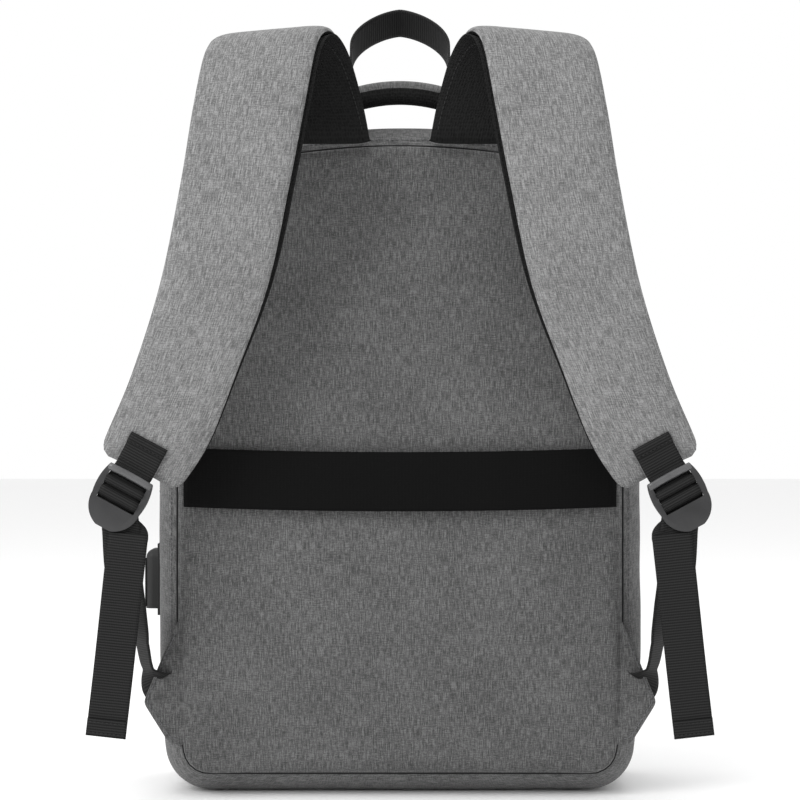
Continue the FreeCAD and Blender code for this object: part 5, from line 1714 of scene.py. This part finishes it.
# ---- port
@dataclass
class ChargingPort(Maker):
    """Rubber housing on the left side with its ribs and socket."""

    ribs: int = 7

    def build(self) -> None:
        """Round the housing and set its ribs."""
        node = "charging_port_housing"
        low, high = corner(node)
        piece = rounded_from_frame("port_housing_rubber", node, self.finishes.rubber, 0.6)
        dressed(piece, "pack", "port_rubber", node)
        lines = []
        for y in np.linspace(low[1] + 7.5, high[1] - 7.5, self.ribs):
            z = np.linspace(low[2] + 6.0, high[2] - 11.0, 12)
            lines.append((np.stack([np.full(12, low[0] - 0.1), np.full(12, y), z], 1), (-1, 0, 0)))
        rib = self.repeater.run("port_ribs", lines, 1.1, (1.3, 1.2, 2.4), self.finishes.rubber)
        dressed(rib, "pack", "port_rubber")


# ---- solar front
@dataclass
class SolarFront(Maker):
    """Front pocket, its zip opening, and the solar panel's binding."""

    outline: Outline
    inset: float = 14.0
    around: int = 220

    def build(self) -> None:
        """Make the pocket and the binding."""
        self.pocket()
        self.binding()

    def pocket(self) -> None:
        """Soft front pocket in two panels either side of its zip."""
        low, high = corner("front_pocket")
        zip_low, zip_high = corner("pocket_zip_coil")
        middle = (zip_low[2] + zip_high[2]) / 2
        gap = 5.0
        face, root = high[1], low[1]
        upper_low = middle + gap
        turns = []
        for share in np.linspace(0.0, 1.0, 7):
            angle = share * math.pi / 2
            turns.append((self.outline.loop(self.inset + 3.6 * (1 - math.cos(angle)), upper_low,
                                            self.around), face - 4.0 + 3.6 * math.sin(angle)))

        def slack(spots: Array) -> Array:
            return 0.25 * waves(spots, 90.0, 17)

        rear = [(self.outline.loop(self.inset, upper_low, self.around), face - 4.2),
                (self.outline.loop(self.inset + 3.0, upper_low + 0.5, self.around), face - 2.4)]
        upper = cushion("pocket_upper_cloth", turns, rear,
                        [self.finishes.side_cloth, self.finishes.lining_place], 0.0, 20, slack)
        dressed(upper, "lid", "heather_cloth", "front_pocket")
        rows_out, rows_in = [], []
        for y in np.linspace(root, face - 3.4, 6):
            flat = self.outline.above(self.inset + 0.05, low[2], 200)
            deep = self.outline.above(self.inset + 2.0, low[2], 200)
            rows_out.append(at_depth(flat, y))
            rows_in.append(at_depth(deep, y))
        side = two_sided("pocket_side_cloth", np.array(rows_out), np.array(rows_in), self.finishes.walls())
        dressed(side, "lid", "heather_cloth")
        self.lower_panel(low, face, root, middle - gap)

    def lower_panel(self, low: Array, face: float, root: float, top: float) -> None:
        """The pocket's part below its zip, with its floor."""
        z = np.concatenate([np.linspace(low[2], low[2] + 3, 5), np.linspace(low[2] + 6, top, 12)])
        outer, inner = [], []
        for height in z:
            wide = self.outline.width_at(height, self.inset)
            x = np.linspace(-wide, wide, 70)
            edge = np.minimum(wide - np.abs(x), height - low[2])
            soft = 3.4 * np.clip(1 - edge / 4.0, 0, 1) ** 2
            outer.append(np.stack([x, face - 0.3 - soft, np.full(70, height)], 1))
            inner.append(np.stack([x, face - 2.2 - soft, np.full(70, height)], 1))
        panel = two_sided("pocket_lower_cloth", np.array(outer), np.array(inner), self.finishes.walls())
        dressed(panel, "lid", "heather_cloth")
        wide = self.outline.width_at(low[2], self.inset)
        x = np.linspace(-wide, wide, 40)
        rows = [np.stack([x, np.full(40, y), np.full(40, low[2])], 1)
                for y in np.linspace(root, face - 3.6, 5)]
        floor = np.array(rows)
        base = two_sided("pocket_floor_cloth", floor, floor + np.array([0, 0, 1.8]), self.finishes.walls())
        dressed(base, "lid", "heather_cloth")
        zip_end = corner("pocket_zip_tape")[1][0] - 2.0
        for side, k in SIDES.items():
            heights = np.linspace(top - 1.5, top + 11.5, 9)
            rows = []
            for height in heights:
                wide = self.outline.width_at(height, self.inset)
                x = np.linspace(zip_end, wide - 0.1, 16)
                soft = 3.4 * np.clip(1 - (wide - x) / 4.0, 0,
                                     1) ** 2 + 0.9 * np.clip(1 - (x - zip_end) / 3.0, 0, 1)
                rows.append(np.stack([x * k, face - 0.55 - soft, np.full(16, height)], 1))
            grid = np.array(rows)
            end = two_sided(f"{side}_pocket_zip_end", grid, grid - np.array([0.0, 1.6, 0.0]),
                            self.finishes.walls())
            dressed(end, "lid", "heather_cloth")

    def binding(self) -> None:
        """Webbing binding round the solar laminate, with two rows of stitches."""
        low, high = corner("solar_binding")
        wide = corner("solar_laminate")[0][0] - low[0]
        cx, cz = (low[0] + high[0]) / 2, (low[2] + high[2]) / 2
        hx, hz = (high[0] - low[0]) / 2, (high[2] - low[2]) / 2
        radius = wide + 2.5

        def loop(shrink: float) -> Array:
            r = max(radius - shrink, 0.6)
            corners = []
            for a0, sx, sz in ((0, 1, 1), (90, -1, 1), (180, -1, -1), (270, 1, -1)):
                for a in np.radians(np.linspace(a0, a0 + 90, 9)):
                    corners.append((cx + sx * (hx - shrink - r) + r * math.cos(a),
                                    cz + sz * (hz - shrink - r) + r * math.sin(a)))
            return resample(np.array(corners + corners[:1]), 241)

        profile = [(0.0, low[1]), (0.15, low[1] + 1.4), (1.0, high[1] - 0.6), (2.6, high[1] - 0.1),
                   (wide / 2, high[1] + 0.1), (wide - 2.2, high[1] - 0.2), (wide - 0.4, high[1] - 0.8)]
        outer = np.array([at_depth(loop(s), y) for s, y in profile])
        inner = np.array([at_depth(loop(s), low[1] + 0.1) for s, _ in profile])
        piece = two_sided("solar_binding_webbing", outer, inner, [self.finishes.webbing])
        dressed(piece, "lid", "webbing", "solar_binding")
        lines = []
        for shrink in (2.4, wide - 2.4):
            flat = loop(shrink)
            lines.append((at_depth(flat, high[1] + 0.15), (0, 1, 0)))
        self.sew("solar_binding_stitches", lines, "lid", "webbing")


# ---- carried-over nodes
def dress_frame(finishes: Finishes) -> None:
    """Give every frame node that still shows its own finish."""
    groups = ((finishes.foam, "back_panel_foam"),
              (finishes.board, "back_stiffener_board base_stiffener_board"),
              (finishes.lining_place, "back_lining laptop_divider battery_pocket organiser_pocket"),
              (finishes.steel, "charging_port_socket controller_socket"),
              (finishes.socket_plastic, "charging_port_tongue"),
              (finishes.webbing_place, "laptop_retainer_strap"),
              (finishes.tape, "rear_zip_tape lid_zip_tape pocket_zip_tape"),
              (finishes.laminate, "solar_laminate"), (finishes.silicon, "solar_cells"),
              (finishes.case, "controller_case controller_cover"),
              (finishes.black_zinc, "controller_screws"))
    wanted = {name: finish for finish, names in groups for name in names.split()}
    for name, node in frame["nodes"].items():
        finish = wanted.get(name, finishes.lining_place)
        node.data.materials.clear()
        node.data.materials.append(finish)
        if name not in wanted and not node.hide_render:
            LOG.warning("%s has no finish of its own", name)


# ---- studio
@dataclass
class Studio:
    """Pale floor, soft light and the camera."""

    eye: tuple = (0.0, -1.565, 0.2556)
    view_at: float = 0.516       # height in view at the back panel
    back: float = -0.065
    ambient: float = 0.9         # light from all round
    # Name, place, size and power of each lamp.
    lamps: tuple = (("key", (-0.95, -1.0, 1.05), 0.9, 12.5), ("fill", (1.7, -1.2, 0.9), 1.6, 1.0),
                    ("top", (0.0, 0.2, 2.2), 1.8, 14.0))
    floor_half: float = 6.0
    floor_z: float = -0.0012

    def build(self) -> None:
        """Make the floor, lights, world and camera."""
        mesh = bpy.data.meshes.new("floor")
        far = self.floor_half
        mesh.from_pydata([(x, y, self.floor_z) for x, y in ((-far, -far), (far, -far), (far, far),
                                                            (-far, far))], [], [(0, 1, 2, 3)])
        floor = bpy.data.objects.new("floor", mesh)
        bpy.context.scene.collection.objects.link(floor)
        paper = new_surface("matte_paper", Follow.PLACE, {"Base Color": linear("#ffffff"),
                                                          "Roughness": 0.9})[0]
        mesh.materials.append(paper)
        world = bpy.data.worlds.new("studio")
        world.use_nodes = True
        world.node_tree.nodes["Background"].inputs["Color"].default_value = (1.0, 1.0, 1.0, 1.0)
        air = world.node_tree.nodes["Background"]
        seen = add(world.node_tree, "ShaderNodeLightPath").outputs["Is Camera Ray"]
        strength = add(world.node_tree, "ShaderNodeMapRange", {"Value": seen, "To Min": self.ambient,
                                                               "To Max": 1.0})
        world.node_tree.links.new(strength.outputs["Result"], air.inputs["Strength"])
        bpy.context.scene.world = world
        bpy.context.scene.view_settings.view_transform = "Standard"
        for name, place, size, power in self.lamps:
            self.lamp(name, place, size, power)
        camera = bpy.data.cameras.new("camera")
        eye = bpy.data.objects.new("camera", camera)
        bpy.context.scene.collection.objects.link(eye)
        eye.location = self.eye
        eye.rotation_euler = (math.pi / 2, 0.0, 0.0)
        distance = self.back - self.eye[1]
        camera.lens = camera.sensor_width * distance / self.view_at
        bpy.context.scene.camera = eye

    def lamp(self, name: str, place: tuple, size: float, power: float) -> None:
        """A soft square lamp that faces the pack."""
        data = bpy.data.lights.new(name, "AREA")
        data.shape = "SQUARE"
        data.size = size
        data.energy = power
        obj = bpy.data.objects.new(name, data)
        obj.location = place
        way = Vector((0.0, 0.0, 0.22)) - Vector(place)
        obj.rotation_euler = way.to_track_quat("-Z", "Y").to_euler()
        bpy.context.scene.collection.objects.link(obj)


def main() -> None:
    """Build the pack, piece by piece."""
    logging.basicConfig(level=logging.INFO, format="%(name)s %(message)s")
    finishes = make_finishes()
    repeater = Repeater()
    gusset = corner("rear_gusset")
    outline = Outline(half_mid=float(gusset[1][0]), height=float(gusset[1][2]))
    Studio().build()
    Body(finishes, repeater, outline).build()
    LuggageBand(finishes, repeater).build()
    for side in SIDES:
        ShoulderStrap(finishes, repeater, side, outline.height, float(corner("back_panel_cover")[0][1]),
                      outline.half_mid).build()
    Handles(finishes, repeater, outline).build()
    Zips(finishes, repeater, outline).build()
    ChargingPort(finishes, repeater).build()
    SolarFront(finishes, repeater, outline).build()
    dress_frame(finishes)


if __name__ == "__main__":
    main()
